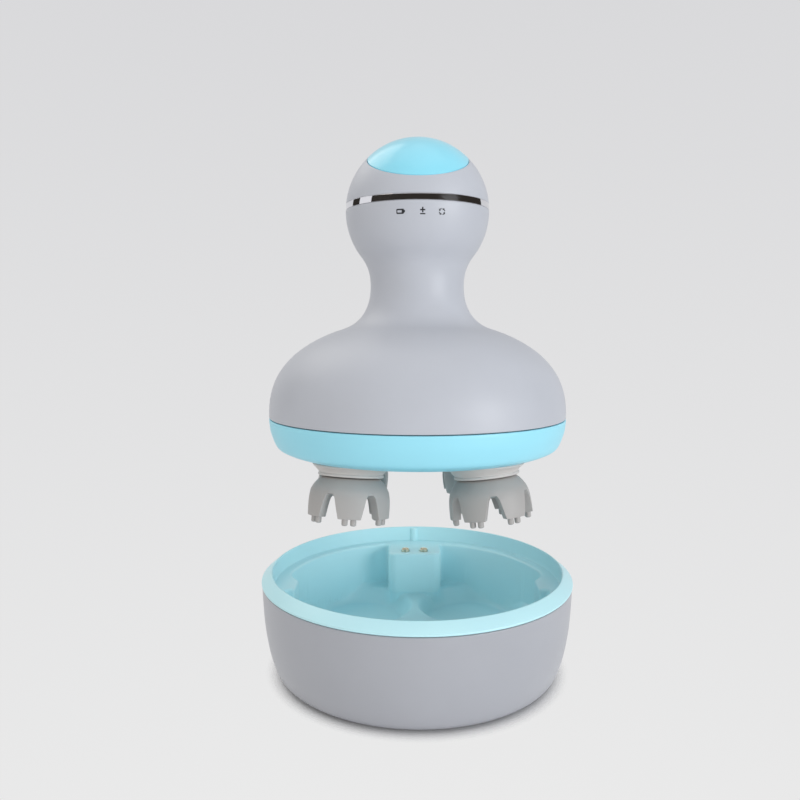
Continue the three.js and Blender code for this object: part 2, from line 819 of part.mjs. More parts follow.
// Each head's place on the circle, and how far its lean and its arms are turned
function headPlaces() {
  const placesAndTurns = {
    front_left: [225, -24, 29],
    front_right: [315, 50, -20],
    rear_left: [135, -100, 10],
    rear_right: [45, 100, 25],
  };
  return Object.entries(placesAndTurns).map(([name, degrees]) => {
    const [angle, leanTurn, armTurn] = degrees.map(THREE.MathUtils.degToRad);
    const [x, y] = [headCircle * Math.cos(angle), headCircle * Math.sin(angle)];
    return { name, angle, leanTurn, armTurn, x, y };
  });
}

function postPlaces() {
  return around(4, postCircle, 0, (x, y) => [x, y]).filter(([, y]) => y < 1);
}

function makeGearPlate() {
  const plate = rod(gearPlateRadius, gearPlateLow, gearPlateTop, 0, 0, middleRound);
  const through = (radius, x, y) => rod(radius, gearPlateLow - 1, gearPlateTop + 1, x, y);
  return cut(plate,
    through(axleRadius + gap, 0, 0),
    through(motorNose + gap, 0, pinionOffset),
    ...headPlaces().map(({ x, y }) => through(spindleRadius + runningGap, x, y)),
    ...postPlaces().map(([x, y]) => through(screwRadius + gap, x, y)));
}

function makeMotor() {
  const low = gearPlateTop + gap;
  const motor = turned([
    [motorShaftRadius + runningGap, low - motorNoseLength],
    [motorNose, low - motorNoseLength],
    [motorNose, low],
    [motorRadius, low],
    [motorRadius, low + motorLength - motorChamfer],
    [motorRadius - motorChamfer, low + motorLength],
    [motorShaftRadius + runningGap, low + motorLength],
  ], middleRound);
  return motor.translate([0, pinionOffset, 0]);
}

function makeMotorPinion() {
  const turn = meshTurn(Math.PI / 2, reductionTeeth, pinionTeeth);
  const shape = gearShape(pinionTeeth, reductionModule, motorShaftRadius * 0.6, turn);
  const gear = prism(shape, reductionLow, reductionLow + reductionThickness, smallRound / 2);
  const shaft = rod(motorShaftRadius, reductionLow, gearPlateTop + motorLength - 1);
  return union(gear, shaft).translate([0, pinionOffset, 0]);
}

function makeCentreGear() {
  const bore = axleRadius + runningGap;
  const sun = prism(gearShape(centreTeeth, headModule, bore), gearLow, gearLow + gearThickness,
    smallRound / 2);
  const reduction = prism(gearShape(reductionTeeth, reductionModule, bore), reductionLow,
    reductionLow + reductionThickness, smallRound / 2);
  const boss = tube(headModule * centreTeeth / 2 - 4, bore, gearLow + 1, reductionLow + 1);
  return union(sun, reduction, boss);
}

function makeOutputGear(angle) {
  const turn = meshTurn(angle, centreTeeth, headTeeth);
  const shape = gearShape(headTeeth, headModule, spindleRadius + gap, turn);
  return prism(shape, gearLow, gearLow + gearThickness, smallRound / 2);
}

// A round shaft, its lower end cut flat on one side by a given depth
function makeSpindle() {
  const low = hubTop - hubDrop + 1.6;
  const high = gearPlateTop - gap;
  const flat = block([spindleRadius - spindleFlat, spindleRadius + 1], [-spindleRadius, spindleRadius],
    [low - 1, hubTop]);
  return cut(rod(spindleRadius, low, high), flat);
}

// A ring of points about the leaning axis, at a drop below the hub's top
function leaningRing(drop, radius, tilt, facets) {
  const centre = new THREE.Vector3(drop * Math.sin(lean), 0, -drop * Math.cos(lean));
  return Array.from({ length: facets }, (_, i) => {
    const angle = i * 2 * Math.PI / facets;
    const across = radius * Math.cos(angle);
    return new THREE.Vector3(across * Math.cos(tilt), radius * Math.sin(angle), across * Math.sin(tilt))
      .add(centre);
  });
}

// A closed skin over a stack of rings with equal counts
function loft(rings) {
  const count = rings[0].length;
  const middles = [rings[0], rings.at(-1)].map((ring) =>
    ring.reduce((sum, point) => sum.add(point), new THREE.Vector3()).divideScalar(count));
  const points = [...rings.flat(), ...middles];
  const first = points.length - 2;
  const index = [];
  for (let k = 0; k < count; k += 1) {
    const next = (k + 1) % count;
    rings.slice(1).forEach((_, ring) => {
      const [a, b] = [ring * count + k, ring * count + next];
      index.push(a, b, a + count, b, b + count, a + count);
    });
    const last = (rings.length - 1) * count;
    index.push(first, next, k, first + 1, last + k, last + next);
  }
  const geometry = new THREE.BufferGeometry().setFromPoints(points);
  geometry.setIndex(index);
  return solid(geometry);
}

// The rings of a hub are [drop, radius, share of the whole lean]
function makeHub() {
  const rings = [
    [0, hubRadius, 0],
    [0.2 * hubDrop, hubRadius - 0.1, 0.1],
    [0.52 * hubDrop, (hubRadius + lipRadius) / 2, 0.6],
    [0.8 * hubDrop, lipRadius - neckInset, 1],
    [hubDrop, lipRadius, 1],
  ].map(([drop, radius, share]) => leaningRing(drop, radius, share * lean, middleRound));
  const tenon = loft([0.5 * hubDrop, hubDrop + pegLength]
    .map((drop) => leaningRing(drop, pegRadius, lean, tinyRound)));
  const low = 1.3 - hubDrop;
  const shaft = rod(spindleRadius + gap, low, 1);
  const flat = block([spindleRadius - spindleFlat + gap, spindleRadius + 2],
    [-spindleRadius - 1, spindleRadius + 1], [low - 1, 2]);
  return cut(union(loft(rings), tenon), cut(shaft, flat)).translate([0, 0, hubTop]);
}

// One claw about its own axis, its top at height 0
function makeClaw() {
  const facets = armCount * 3;
  const inner = clawRadius - clawWall;
  const bell = turned([
    [0, 0],
    [clawTopRadius, 0],
    [clawRadius - 1.5, -0.19 * clawLength],
    [clawRadius - 0.3, -0.45 * clawLength],
    [clawRadius, -clawLength],
    [inner, -clawLength],
    [inner - 2.4, -crownThickness],
    [0, -crownThickness],
  ], facets);
  const notch = prism(notchShape(), 0, clawRadius + 2, 2).rotate([90, 0, 90]);
  const pegSocket = rod(pegRadius + 2 * gap, -pegLength - gap, 1, 0, 0, tinyRound);
  const places = Array.from({ length: armCount }, (_, i) => i * 360 / armCount);
  const notches = places.map((degrees) => notch.rotate([0, 0, degrees + 180 / armCount]));
  const middle = (clawRadius - 0.2 + inner) / 2;
  const oneArm = [-1, 1].map((side) => rod(nubRadius, -clawLength - nubLength, 1 - clawLength,
    middle, side * nubSpread / 2, tinyRound));
  const nubs = places.flatMap((degrees) => oneArm.map((nub) => nub.rotate([0, 0, degrees])));
  return union(cut(bell, pegSocket, ...notches), ...nubs);
}

// The arch between two arms, wider at the bottom
function notchShape() {
  const top = -clawLength + notchHeight;
  const half = notchWidth / 2;
  const shape = new THREE.Shape();
  shape.moveTo(-half * 1.15, -clawLength - nubLength - 1);
  shape.lineTo(half * 1.15, -clawLength - nubLength - 1);
  shape.lineTo(half * 0.72, top - half * 0.72);
  shape.absarc(0, top - half * 0.72, half * 0.72, 0, Math.PI);
  return shape;
}

function buildHead(handset, place) {
  const shaft = new THREE.Group();
  shaft.position.set(place.x, place.y, 0);
  addPiece(shaft, `output_gear_${place.name}`, makeOutputGear(place.angle), gearWhite);
  addPiece(shaft, `shaft_seal_${place.name}`, makeShaftSeal(), blackRubber);
  const leaning = new THREE.Group();
  leaning.rotation.z = place.leanTurn - Math.PI / 2;
  addPiece(leaning, `spindle_${place.name}`, makeSpindle(), steel);
  addPiece(leaning, `hub_${place.name}`, makeHub(), hubGrey);
  const tip = new THREE.Group();
  tip.rotation.y = -lean;
  tip.position.z = hubTop;
  const claw = new THREE.Group();
  claw.position.z = -hubDrop - gap;
  claw.rotation.z = place.armTurn;
  addPiece(claw, `claw_${place.name}`, makeClaw(), rubberGrey);
  tip.add(claw);
  leaning.add(tip);
  shaft.add(leaning);
  handset.add(shaft);
}

function makeBatteryCradle() {
  const low = gearPlateTop + gap;
  const outside = rod(batteryRadius + gap + cradleWall, low, low + cradleHeight, 0, 0, middleRound);
  const inside = rod(batteryRadius + gap, low + cradleWall, low + cradleHeight + 1, 0, 0, middleRound);
  return cut(outside, inside);
}

function makeBattery() {
  const low = gearPlateTop + gap + cradleWall + gap;
  return rod(batteryRadius, low, headHeight - batteryHeadroom, 0, 0, middleRound);
}

function buildControls() {
  const controls = new THREE.Group();
  controls.position.z = headHeight;
  controls.rotation.x = THREE.MathUtils.degToRad(buttonLean);
  addPiece(controls, 'power_button', makePowerButton(), bluePlastic);
  addPiece(controls, 'button_guide', makeButtonGuide(), blackPlastic);
  addPiece(controls, 'main_board', makeMainBoard(), boardGreen);
  addPiece(controls, 'tact_switch', makeTactSwitch(), blackPlastic);
  return controls;
}

function buildHandset() {
  const handset = new THREE.Group();
  handset.position.z = seamHeight;
  addPiece(handset, 'main_shell', makeMainShell(), greyPlastic);
  addPiece(handset, 'upper_shell', makeUpperShell(), greyPlastic);
  addPiece(handset, 'trim_ring', makeTrimRing(), chrome);
  handset.add(buildControls());
  addPiece(handset, 'base_housing', makeBaseHousing(), bluePlastic);
  addPiece(handset, 'housing_gasket', makeGasket(), tealSeal);
  addPiece(handset, 'charge_pad_left', makeChargePad(-contactSpacing / 2), gold);
  addPiece(handset, 'charge_pad_right', makeChargePad(contactSpacing / 2), gold);
  addPiece(handset, 'gear_plate', makeGearPlate(), gearWhite);
  postPlaces().forEach(([x, y], i) => addPiece(handset, `plate_screw_${i + 1}`,
    makeScrew(gearPlateTop + gap, plateScrewLength, x, y, true), steel));
  addPiece(handset, 'motor', makeMotor(), steel);
  addPiece(handset, 'motor_pinion', makeMotorPinion(), gearWhite);
  addPiece(handset, 'centre_gear', makeCentreGear(), gearWhite);
  addPiece(handset, 'centre_axle', rod(axleRadius, floorTop + gap, gearPlateTop - gap), steel);
  addPiece(handset, 'battery_cradle', makeBatteryCradle(), blackPlastic);
  addPiece(handset, 'battery', makeBattery(), batteryWrap);
  headPlaces().forEach((place) => buildHead(handset, place));
  return handset;
}

const group = new THREE.Group();
group.add(buildDock(), buildHandset());

export default group;
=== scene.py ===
"""Electric scalp massager above its charging dock: the looks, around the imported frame."""

import math

import bmesh
import bpy
from mathutils import Matrix, Vector


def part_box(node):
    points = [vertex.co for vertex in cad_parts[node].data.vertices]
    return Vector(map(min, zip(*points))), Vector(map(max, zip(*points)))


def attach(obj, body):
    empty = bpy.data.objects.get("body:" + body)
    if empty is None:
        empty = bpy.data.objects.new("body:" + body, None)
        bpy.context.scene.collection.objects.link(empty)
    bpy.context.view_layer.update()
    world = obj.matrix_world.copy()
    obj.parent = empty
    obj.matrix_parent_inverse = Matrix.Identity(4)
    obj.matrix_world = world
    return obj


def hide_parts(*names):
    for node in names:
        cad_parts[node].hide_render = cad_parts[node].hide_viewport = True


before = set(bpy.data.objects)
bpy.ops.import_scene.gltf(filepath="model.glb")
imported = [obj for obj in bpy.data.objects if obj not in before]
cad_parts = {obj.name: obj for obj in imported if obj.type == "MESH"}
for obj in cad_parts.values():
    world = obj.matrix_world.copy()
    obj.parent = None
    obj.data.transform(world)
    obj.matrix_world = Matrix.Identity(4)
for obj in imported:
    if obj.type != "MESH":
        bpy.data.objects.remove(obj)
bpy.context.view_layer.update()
bpy.ops.object.select_all(action='DESELECT')


# Studio
# A pale table that fades into a pale backdrop, softboxes overhead and high at the back left,
# a key light from the front right, a flat one at the front that gives no highlights, and a
# weak warm fill from the left. The dark card and the thin white strip are painted
# reflections: cards behind the camera that glow with their own colour and that only mirror
# rays see, so that polished metal and glossy plastic show them.

MM = 0.001
CAMERA_PLACE = (-5.8 * MM, -250 * MM, 116.6 * MM)
CAMERA_DIP = math.radians(5.43)
CAMERA_LENS = 32.94
BACKDROP_HIGH = 0.392
BACKDROP_LOW = -0.562
AMBIENT_COLOUR = (0.98, 0.99, 1, 1)
AMBIENT_STRENGTH = 0.51
FLOOR_RADIUS = 600
FLOOR_FADE = (46.2, 53)
CARD_RADIUS = 500
CARD_LOW = 60
CARD_HIGH = 330
CARD_STEPS = 48
LAMP_AIM = Vector((0, 0, 90 * MM))


def paint(red, green, blue):
    """A colour as a screen shows it, 0 to 255, made linear for a shader."""
    linear = []
    for value in (red, green, blue):
        share = value / 255
        linear.append(share / 12.92 if share <= 0.04045 else ((share + 0.055) / 1.055) ** 2.4)
    return (*linear, 1)


def new_tree(owner):
    """The empty node tree of a material or a world."""
    owner.use_nodes = True
    owner.node_tree.nodes.clear()
    return owner.node_tree


def add_node(tree, kind, values=None, **settings):
    """A shader node with its settings and the values of its inputs."""
    node = tree.nodes.new('ShaderNode' + kind)
    for key, value in settings.items():
        setattr(node, key, value)
    for key, value in (values or {}).items():
        node.inputs[key].default_value = value
    return node


def wire(tree, *links):
    """Links nodes. Each link names a node and its output, then a node and its input."""
    for source, leaving, target, entering in links:
        tree.links.new(source.outputs[leaving], target.inputs[entering])


def seen_directly(tree):
    """1 for camera, mirror and glass rays, 0 for the soft light that fills the room."""
    path = add_node(tree, 'LightPath')
    first = add_node(tree, 'Math', operation='MAXIMUM')
    second = add_node(tree, 'Math', operation='MAXIMUM')
    wire(tree, (path, 'Is Camera Ray', first, 0), (path, 'Is Glossy Ray', first, 1),
         (first, 0, second, 0), (path, 'Is Transmission Ray', second, 1))
    return second


def light_room():
    """The world: even soft light for surfaces, and the pale backdrop for the eye."""
    bpy.context.scene.world = bpy.data.worlds.new("room")
    tree = new_tree(bpy.context.scene.world)
    direction = add_node(tree, 'TexCoord')
    split = add_node(tree, 'SeparateXYZ')
    span = add_node(tree, 'MapRange', {'From Min': BACKDROP_LOW, 'From Max': BACKDROP_HIGH})
    ramp = add_node(tree, 'ValToRGB')
    ramp.color_ramp.elements[0].color = paint(234, 234, 234)
    ramp.color_ramp.elements[1].color = paint(217, 217, 219)
    backdrop = add_node(tree, 'Background')
    ambient = add_node(tree, 'Background',
                       {'Color': AMBIENT_COLOUR, 'Strength': AMBIENT_STRENGTH})
    mix = add_node(tree, 'MixShader')
    out = add_node(tree, 'OutputWorld')
    wire(tree, (direction, 'Generated', split, 0), (split, 'Z', span, 'Value'),
         (span, 0, ramp, 0), (ramp, 0, backdrop, 'Color'), (seen_directly(tree), 0, mix, 0),
         (ambient, 0, mix, 1), (backdrop, 0, mix, 2), (mix, 0, out, 'Surface'))


def add_softbox(name, place, size, power, colour):
    """A square lamp of a given size that faces the middle of the object."""
    bpy.ops.object.light_add(type='AREA', location=place)
    lamp = bpy.context.object
    lamp.name = name
    lamp.data.size = size
    lamp.data.energy = power
    lamp.data.color = colour
    lamp.rotation_euler = (LAMP_AIM - Vector(place)).to_track_quat('-Z', 'Y').to_euler()
    return lamp


def add_table():
    """A round pale table, seen only close to the dock, where it keeps the dock's shadow."""
    bpy.ops.mesh.primitive_circle_add(vertices=128, radius=FLOOR_RADIUS * MM, fill_type='NGON')
    table = bpy.context.object
    table.name = "table"
    material = bpy.data.materials.new("table_top")
    tree = new_tree(material)
    place = add_node(tree, 'TexCoord')
    reach = add_node(tree, 'VectorMath', operation='LENGTH')
    fade = add_node(tree, 'MapRange', {'From Min': FLOOR_FADE[0] * MM,
                                       'From Max': FLOOR_FADE[1] * MM},
                    interpolation_type='SMOOTHSTEP')
    hide = add_node(tree, 'Math', operation='MULTIPLY')
    surface = add_node(tree, 'BsdfPrincipled', {'Base Color': paint(231, 231, 232),
                                                'Roughness': 0.3, 'Specular IOR Level': 0.3})
    clear = add_node(tree, 'BsdfTransparent')
    mix = add_node(tree, 'MixShader')
    out = add_node(tree, 'OutputMaterial')
    wire(tree, (place, 'Object', reach, 0), (reach, 'Value', fade, 'Value'),
         (fade, 0, hide, 0), (seen_directly(tree), 0, hide, 1), (hide, 0, mix, 0),
         (surface, 0, mix, 1), (clear, 0, mix, 2), (mix, 0, out, 'Surface'))
    table.data.materials.append(material)


def add_card(name, radius, first, last, colour):
    """A painted reflection: a curved card about the object that glows with its own colour and is
    seen by mirror rays alone. Angles count from -Y.
    """
    bpy.ops.mesh.primitive_plane_add(size=1)
    card = bpy.context.object
    card.name = name
    bpy.ops.object.mode_set(mode='EDIT')
    bpy.ops.mesh.delete(type='ONLY_FACE')
    mesh = bmesh.from_edit_mesh(card.data)
    mesh.verts.ensure_lookup_table()
    start = math.radians(first - 90)
    for vertex, height in zip(mesh.verts[:2], (CARD_LOW, CARD_HIGH)):
        vertex.co = Vector((radius * math.cos(start), radius * math.sin(start), height)) * MM
    bmesh.ops.delete(mesh, geom=mesh.verts[2:], context='VERTS')
    bmesh.update_edit_mesh(card.data)
    bpy.ops.mesh.select_all(action='SELECT')
    bpy.ops.mesh.spin(steps=CARD_STEPS, angle=math.radians(first - last), center=(0, 0, 0),
                      axis=(0, 0, 1))
    bpy.ops.object.mode_set(mode='OBJECT')
    material = bpy.data.materials.new(name)
    tree = new_tree(material)
    glow = add_node(tree, 'Emission', {'Color': colour})
    out = add_node(tree, 'OutputMaterial')
    wire(tree, (glow, 0, out, 'Surface'))
    card.data.materials.append(material)
    for ray in ("camera", "diffuse", "transmission", "shadow"):
        setattr(card, "visible_" + ray, False)


bpy.context.scene.view_settings.view_transform = 'Standard'
light_room()
add_softbox("overhead_box", (0.05, -0.05, 1.15), size=0.8, power=1.0, colour=(1, 1, 1))
add_softbox("back_box", (-0.55, 0.42, 0.9), size=0.7, power=2.2, colour=(1, 0.98, 0.94))
add_softbox("key_box", (0.86, -0.72, 0.24), size=0.5, power=5.2, colour=(0.96, 0.98, 1))
front = add_softbox("front_box", (0.12, -1.15, 0.12), size=0.6, power=2.4, colour=(0.97, 0.98, 1))
front.visible_glossy = False
add_softbox("fill_box", (-0.8, -0.55, 0.3), size=0.5, power=0.9, colour=(1, 0.9, 0.76))
add_table()
# Painted reflections: a dark glowing card and a thin white glowing strip, seen only in mirrors.
add_card("painted_dark_reflection", CARD_RADIUS, -122, 116, paint(50, 46, 42))
add_card("painted_white_reflection", CARD_RADIUS - 10, -102, -76, paint(238, 238, 240))
bpy.ops.object.camera_add(location=CAMERA_PLACE, rotation=(math.pi / 2 - CAMERA_DIP, 0, 0))
camera = bpy.context.object
camera.data.sensor_width = 36
camera.data.lens = CAMERA_LENS
camera.data.clip_start = 0.01
bpy.context.scene.camera = camera


# Dock shell
# The outer wall of the dock, moulded in satin grey plastic. Its side swells from the foot
# to the rim, and the charging inlet is a rounded recess low in the back.

DOCK_HEIGHT = 32.5
RIM_THICKNESS = 1.0
PARTING_GAP = 0.3
SHELL_TOP = DOCK_HEIGHT - RIM_THICKNESS - PARTING_GAP
RECESS_OUTER = 51.1
DOCK_SIDE = [(46.4, 1), (47.35, 1.18), (48.15, 1.72), (49.3, 3.6), (51, 9.1), (52.4, 17.55),
             (53, 26), (53.16, 29.6), (53.2, 30.9)]
PLATE_SEAT = 45.3
INLET_MIDDLE = 7.8
INLET_SIZE = (12.6, 5.8)
INLET_CORNER = 1.5
ROUND_STEPS = 176
SMOOTH_ANGLE = 35
MERGE_REACH = 0.002 * MM


def smooth_through(points, steps=6):
    """A smooth curve through the points of an outline."""
    curve = []
    for i in range(len(points) - 1):
        before = Vector(points[max(i - 1, 0)])
        start = Vector(points[i])
        end = Vector(points[i + 1])
        after = Vector(points[min(i + 2, len(points) - 1)])
        leave = (end - before) / 2
        arrive = (after - start) / 2
        for k in range(steps):
            t = k / steps
            point = (start * (2 * t ** 3 - 3 * t ** 2 + 1) + leave * (t ** 3 - 2 * t ** 2 + t)
                     + end * (3 * t ** 2 - 2 * t ** 3) + arrive * (t ** 3 - t ** 2))
            curve.append(point.to_tuple())
    return curve + [points[-1]]


def corner(r, z, radius, start, end, steps=4):
    """Points round a corner of an outline, its centre at r, z, angles in degrees."""
    turn = [math.radians(start + (end - start) * k / steps) for k in range(steps + 1)]
    return [(r + radius * math.cos(a), z + radius * math.sin(a)) for a in turn]


def close_skin(piece, angle=SMOOTH_ANGLE):
    """Ends an edit: doubles merged, faces turned outwards, soft edges shaded smooth."""
    bpy.ops.mesh.select_all(action='SELECT')
    bpy.ops.mesh.remove_doubles(threshold=MERGE_REACH)
    bpy.ops.mesh.normals_make_consistent(inside=False)
    bpy.ops.object.mode_set(mode='OBJECT')
    bpy.ops.object.shade_smooth_by_angle(angle=math.radians(angle))
    return piece


def start_point(name):
    """A new piece in edit mode that is a single selected vertex."""
    bpy.ops.object.select_all(action='DESELECT')
    bpy.ops.mesh.primitive_plane_add(size=MM, location=(0, 0, 0))
    piece = bpy.context.object
    piece.name = name
    bpy.ops.object.mode_set(mode='EDIT')
    bpy.ops.mesh.select_all(action='SELECT')
    bpy.ops.mesh.merge(type='CENTER')
    return piece


def spun(name, outline, steps=ROUND_STEPS):
    """A body of revolution about Z, from an outline of radius and height in millimetres."""
    piece = start_point(name)
    place = Vector((0, 0, 0))
    for index, (r, z) in enumerate(outline):
        step = Vector((r, 0, z)) * MM - place
        if index == 0:
            bpy.ops.transform.translate(value=step)
        else:
            bpy.ops.mesh.extrude_vertices_move(TRANSFORM_OT_translate={"value": step})
        place += step
    bpy.ops.mesh.select_all(action='SELECT')
    bpy.ops.mesh.spin(steps=steps, angle=2 * math.pi, center=(0, 0, 0), axis=(0, 0, 1))
    return close_skin(piece)


def skinned(name, loops, joined=False, angle=SMOOTH_ANGLE):
    """A closed skin through loops of points in millimetres, capped or joined end to end."""
    bpy.ops.object.select_all(action='DESELECT')
    bpy.ops.mesh.primitive_circle_add(vertices=len(loops[0]), radius=1, location=(0, 0, 0))
    piece = bpy.context.object
    piece.name = name
    bpy.ops.object.mode_set(mode='EDIT')
    mesh = bmesh.from_edit_mesh(piece.data)
    mesh.verts.ensure_lookup_table()
    for vertex, point in zip(mesh.verts, loops[0]):
        vertex.co = Vector(point) * MM
    keys = [vertex.co.to_tuple() for vertex in mesh.verts]
    if not joined:
        bpy.ops.mesh.edge_face_add()
        bpy.ops.mesh.select_mode(type='VERT')
    for loop in loops[1:]:
        bpy.ops.mesh.select_all(action='DESELECT')
        mesh = bmesh.from_edit_mesh(piece.data)
        last = {key: i for i, key in enumerate(keys)}
        for edge in mesh.edges:
            if all(vertex.co.to_tuple() in last for vertex in edge.verts):
                edge.select = True
        bmesh.update_edit_mesh(piece.data)
        bpy.ops.mesh.extrude_edges_move()
        mesh = bmesh.from_edit_mesh(piece.data)
        for vertex in [v for v in mesh.verts if v.select]:
            vertex.co = Vector(loop[last[vertex.co.to_tuple()]]) * MM
        keys = [(Vector(point) * MM).to_tuple() for point in loop]
        bmesh.update_edit_mesh(piece.data)
    if not joined:
        bpy.ops.mesh.edge_face_add()
    return close_skin(piece, angle)


def pick(piece):
    """Makes a piece the active one, and the only one that is selected."""
    bpy.ops.object.select_all(action='DESELECT')
    bpy.context.view_layer.objects.active = piece
    piece.select_set(True)


def apply_modifier(piece, kind, **values):
    """Adds a modifier with its values and applies it."""
    change = piece.modifiers.new(kind, kind)
    for key, value in values.items():
        setattr(change, key, value)
    bpy.ops.object.modifier_apply(modifier=change.name)


def cut_with(piece, tools, operation='DIFFERENCE'):
    """Cuts solid tools out of a piece, or adds them to it, and throws the tools away."""
    for tool in tools:
        pick(piece)
        apply_modifier(piece, 'BOOLEAN', operation=operation, solver='EXACT', object=tool)
        bpy.data.objects.remove(tool)
    bpy.ops.object.shade_smooth_by_angle(angle=math.radians(SMOOTH_ANGLE))


def edited(piece, change, **values):
    """The piece after one change to the whole of its mesh."""
    pick(piece)
    bpy.ops.object.mode_set(mode='EDIT')
    bpy.ops.mesh.select_all(action='SELECT')
    change(**values)
    bpy.ops.object.mode_set(mode='OBJECT')
    return piece


def rounded_box_loop(half_width, half_height, radius, steps=5):
    """The corners of a rounded rectangle about 0, 0."""
    points = []
    for sx, sz, start in ((1, 1, 0), (-1, 1, 90), (-1, -1, 180), (1, -1, 270)):
        points += corner(sx * (half_width - radius), sz * (half_height - radius), radius,
                         start, start + 90, steps)
    return points


def inlet_tool(grow, front, back):
    """A rounded plug for the inlet's hole, from one y to another."""
    width, height = INLET_SIZE
    loop = rounded_box_loop(width / 2 + grow, height / 2 + grow, INLET_CORNER + grow)
    return skinned("tool", [[(x, y, INLET_MIDDLE + z) for x, z in loop] for y in (front, back)])


def grain_group():
    """Moulded plastic seen close: a fine even grain, and a slow drift in tone and gloss."""
    group = bpy.data.node_groups.new("moulded_grain", 'ShaderNodeTree')
    for name, way in (("Grain Size", 'INPUT'), ("Height", 'OUTPUT'), ("Drift", 'OUTPUT')):
        group.interface.new_socket(name, in_out=way, socket_type='NodeSocketFloat')
    enter = group.nodes.new('NodeGroupInput')
    leave = group.nodes.new('NodeGroupOutput')
    place = add_node(group, 'TexCoord')
    scale = add_node(group, 'Math', {0: 1}, operation='DIVIDE')
    fine = add_node(group, 'TexNoise', {'Detail': 2})
    broad = add_node(group, 'TexNoise', {'Scale': 46, 'Detail': 3})
    wire(group, (enter, 'Grain Size', scale, 1), (scale, 0, fine, 'Scale'),
         (place, 'Object', fine, 'Vector'), (place, 'Object', broad, 'Vector'),
         (fine, 0, leave, 'Height'), (broad, 0, leave, 'Drift'))
    return group


GRAIN = grain_group()


def finish(name, colour, roughness, metallic=0.0, grain=0.25, depth=0.004, drift=0.05,
           coat=0.0, specular=0.5):
    """A moulded or polished finish. Grain size and depth are in millimetres, and drift is
    how far the tone and the roughness wander over the surface."""
    material = bpy.data.materials.new(name)
    tree = new_tree(material)
    grains = add_node(tree, 'Group', {'Grain Size': grain * MM}, node_tree=GRAIN)
    dark = tuple(c * (1 - drift) for c in colour[:3])
    light = tuple(min(c * (1 + drift), 1) for c in colour[:3])
    tone = add_node(tree, 'Mix', {'A': (*dark, 1), 'B': (*light, 1)}, data_type='RGBA')
    gloss = add_node(tree, 'MapRange', {'To Min': roughness * (1 - 2 * drift),
                                        'To Max': roughness * (1 + 2 * drift)})
    bump = add_node(tree, 'Bump', {'Strength': 0.6, 'Distance': depth * MM})
    surface = add_node(tree, 'BsdfPrincipled', {
        'Metallic': metallic, 'Coat Weight': coat, 'Coat Roughness': 0.12,
        'Specular IOR Level': specular})
    out = add_node(tree, 'OutputMaterial')
    wire(tree, (grains, 'Drift', tone, 'Factor'), (grains, 'Drift', gloss, 'Value'),
         (grains, 'Height', bump, 'Height'), (tone, 'Result', surface, 'Base Color'),
         (gloss, 0, surface, 'Roughness'), (bump, 0, surface, 'Normal'),
         (surface, 0, out, 'Surface'))
    return material


def wear(piece, material):
    """Gives a piece its finish."""
    piece.data.materials.clear()
    piece.data.materials.append(material)


def fit(piece, body, slot, material, *nodes):
    """Gives a piece its finish, the body that it rides on and the nodes that it replaces."""
    wear(piece, material)
    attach(piece, body)
    if nodes:
        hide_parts(*nodes)


satin_grey = finish("satin_grey", paint(193, 196, 204), 0.42, grain=0.22, depth=0.0035)
# Painted shade: the dock's shell is the same grey plastic as the grip, its colour painted darker
# than the grip's.
dock_grey_painted_shade = finish("dock_grey_painted_shade", paint(175, 177, 184), 0.34, grain=0.22, depth=0.0035, specular=0.8)

dock_shell = spun("dock_wall", [
    (PLATE_SEAT, 1), *smooth_through(DOCK_SIDE),
    *corner(52.95, SHELL_TOP - 0.25, 0.25, 0, 90),
    (RECESS_OUTER + 0.5, SHELL_TOP), (RECESS_OUTER + 0.3, SHELL_TOP - 0.2),
    (RECESS_OUTER + 0.3, 26.85), (50.4, 18.55), (49, 10.1), (47.3, 4.6), (PLATE_SEAT, 3.3),
    (PLATE_SEAT, 1)])
cut_with(dock_shell, [inlet_tool(0, 44, 56)])
fit(dock_shell, "dock", "grey_plastic", dock_grey_painted_shade, "dock_shell")


# Dock liner
# The pale blue bowl, one moulding with the sloping rim. Four claws park in the round hollows
# of its floor. The pillar at the back carries the contacts, two lugs at the sides and the
# shelf carry the handset, and a rounded rib on the recess keys it.

BOWL_RADIUS = 45.9
RECESS_RADIUS = 49.7
SHELF_HEIGHT = DOCK_HEIGHT - 3.45
RIM_RADIUS = 53.4
RIM_TOP = 34.9
RIM_ROUND = 0.35
LINER_LOW = 5.2
LINER_RADIUS = 47.5
BOWL_FILLET = 1.4
RIDGE_HEIGHT = 12.5
FLOOR_RISE = 1.3
FLOOR_RISE_WIDTH = 2.4
POCKET_HEIGHT = 7.0
POCKET_CIRCLE = 29.7
POCKET_SLOPE = (15.4, 20.2)
LUG_REACH = 41.5
LUG_FRONT = -8.5
LUG_REAR = 0.5
LUG_CORNER = 1.0
LUG_BLEND = 10.0
PILLAR_HALF = 10.4
PILLAR_FRONT = 31.0
PILLAR_CORNER = 3.5
SHELF_ROUND = 0.9
PILLAR_ROUND = 0.6
PILLAR_HOLLOW = 8.8
RIB_HALF = 1.8
RIB_FRONT = 48.8
RIB_BACK = 51
RIB_ROUND = 0.8
RIB_DROP = 0.45
CONTACT_X = 3.65
CONTACT_Y = 35.3
SLEEVE_RADIUS = 1.55


def plan_arc(x, y, radius, start, end, steps, grow):
    """An arc of the bowl's plan. A wall that bulges into the bowl turns clockwise, and its
    radius shrinks as the bowl grows."""
    sign = 1 if end > start else -1
    return corner(x, y, radius + sign * grow, start, end, steps)


def cubic(points, steps):
    """Points along a cubic curve with two handles, without its first."""
    a, b, c, d = [Vector(point) for point in points]
    curve = []
    for k in range(1, steps + 1):
        t = k / steps
        curve.append((a * (1 - t) ** 3 + b * 3 * t * (1 - t) ** 2 + c * 3 * t * t * (1 - t)
                      + d * t ** 3).to_tuple())
    return curve


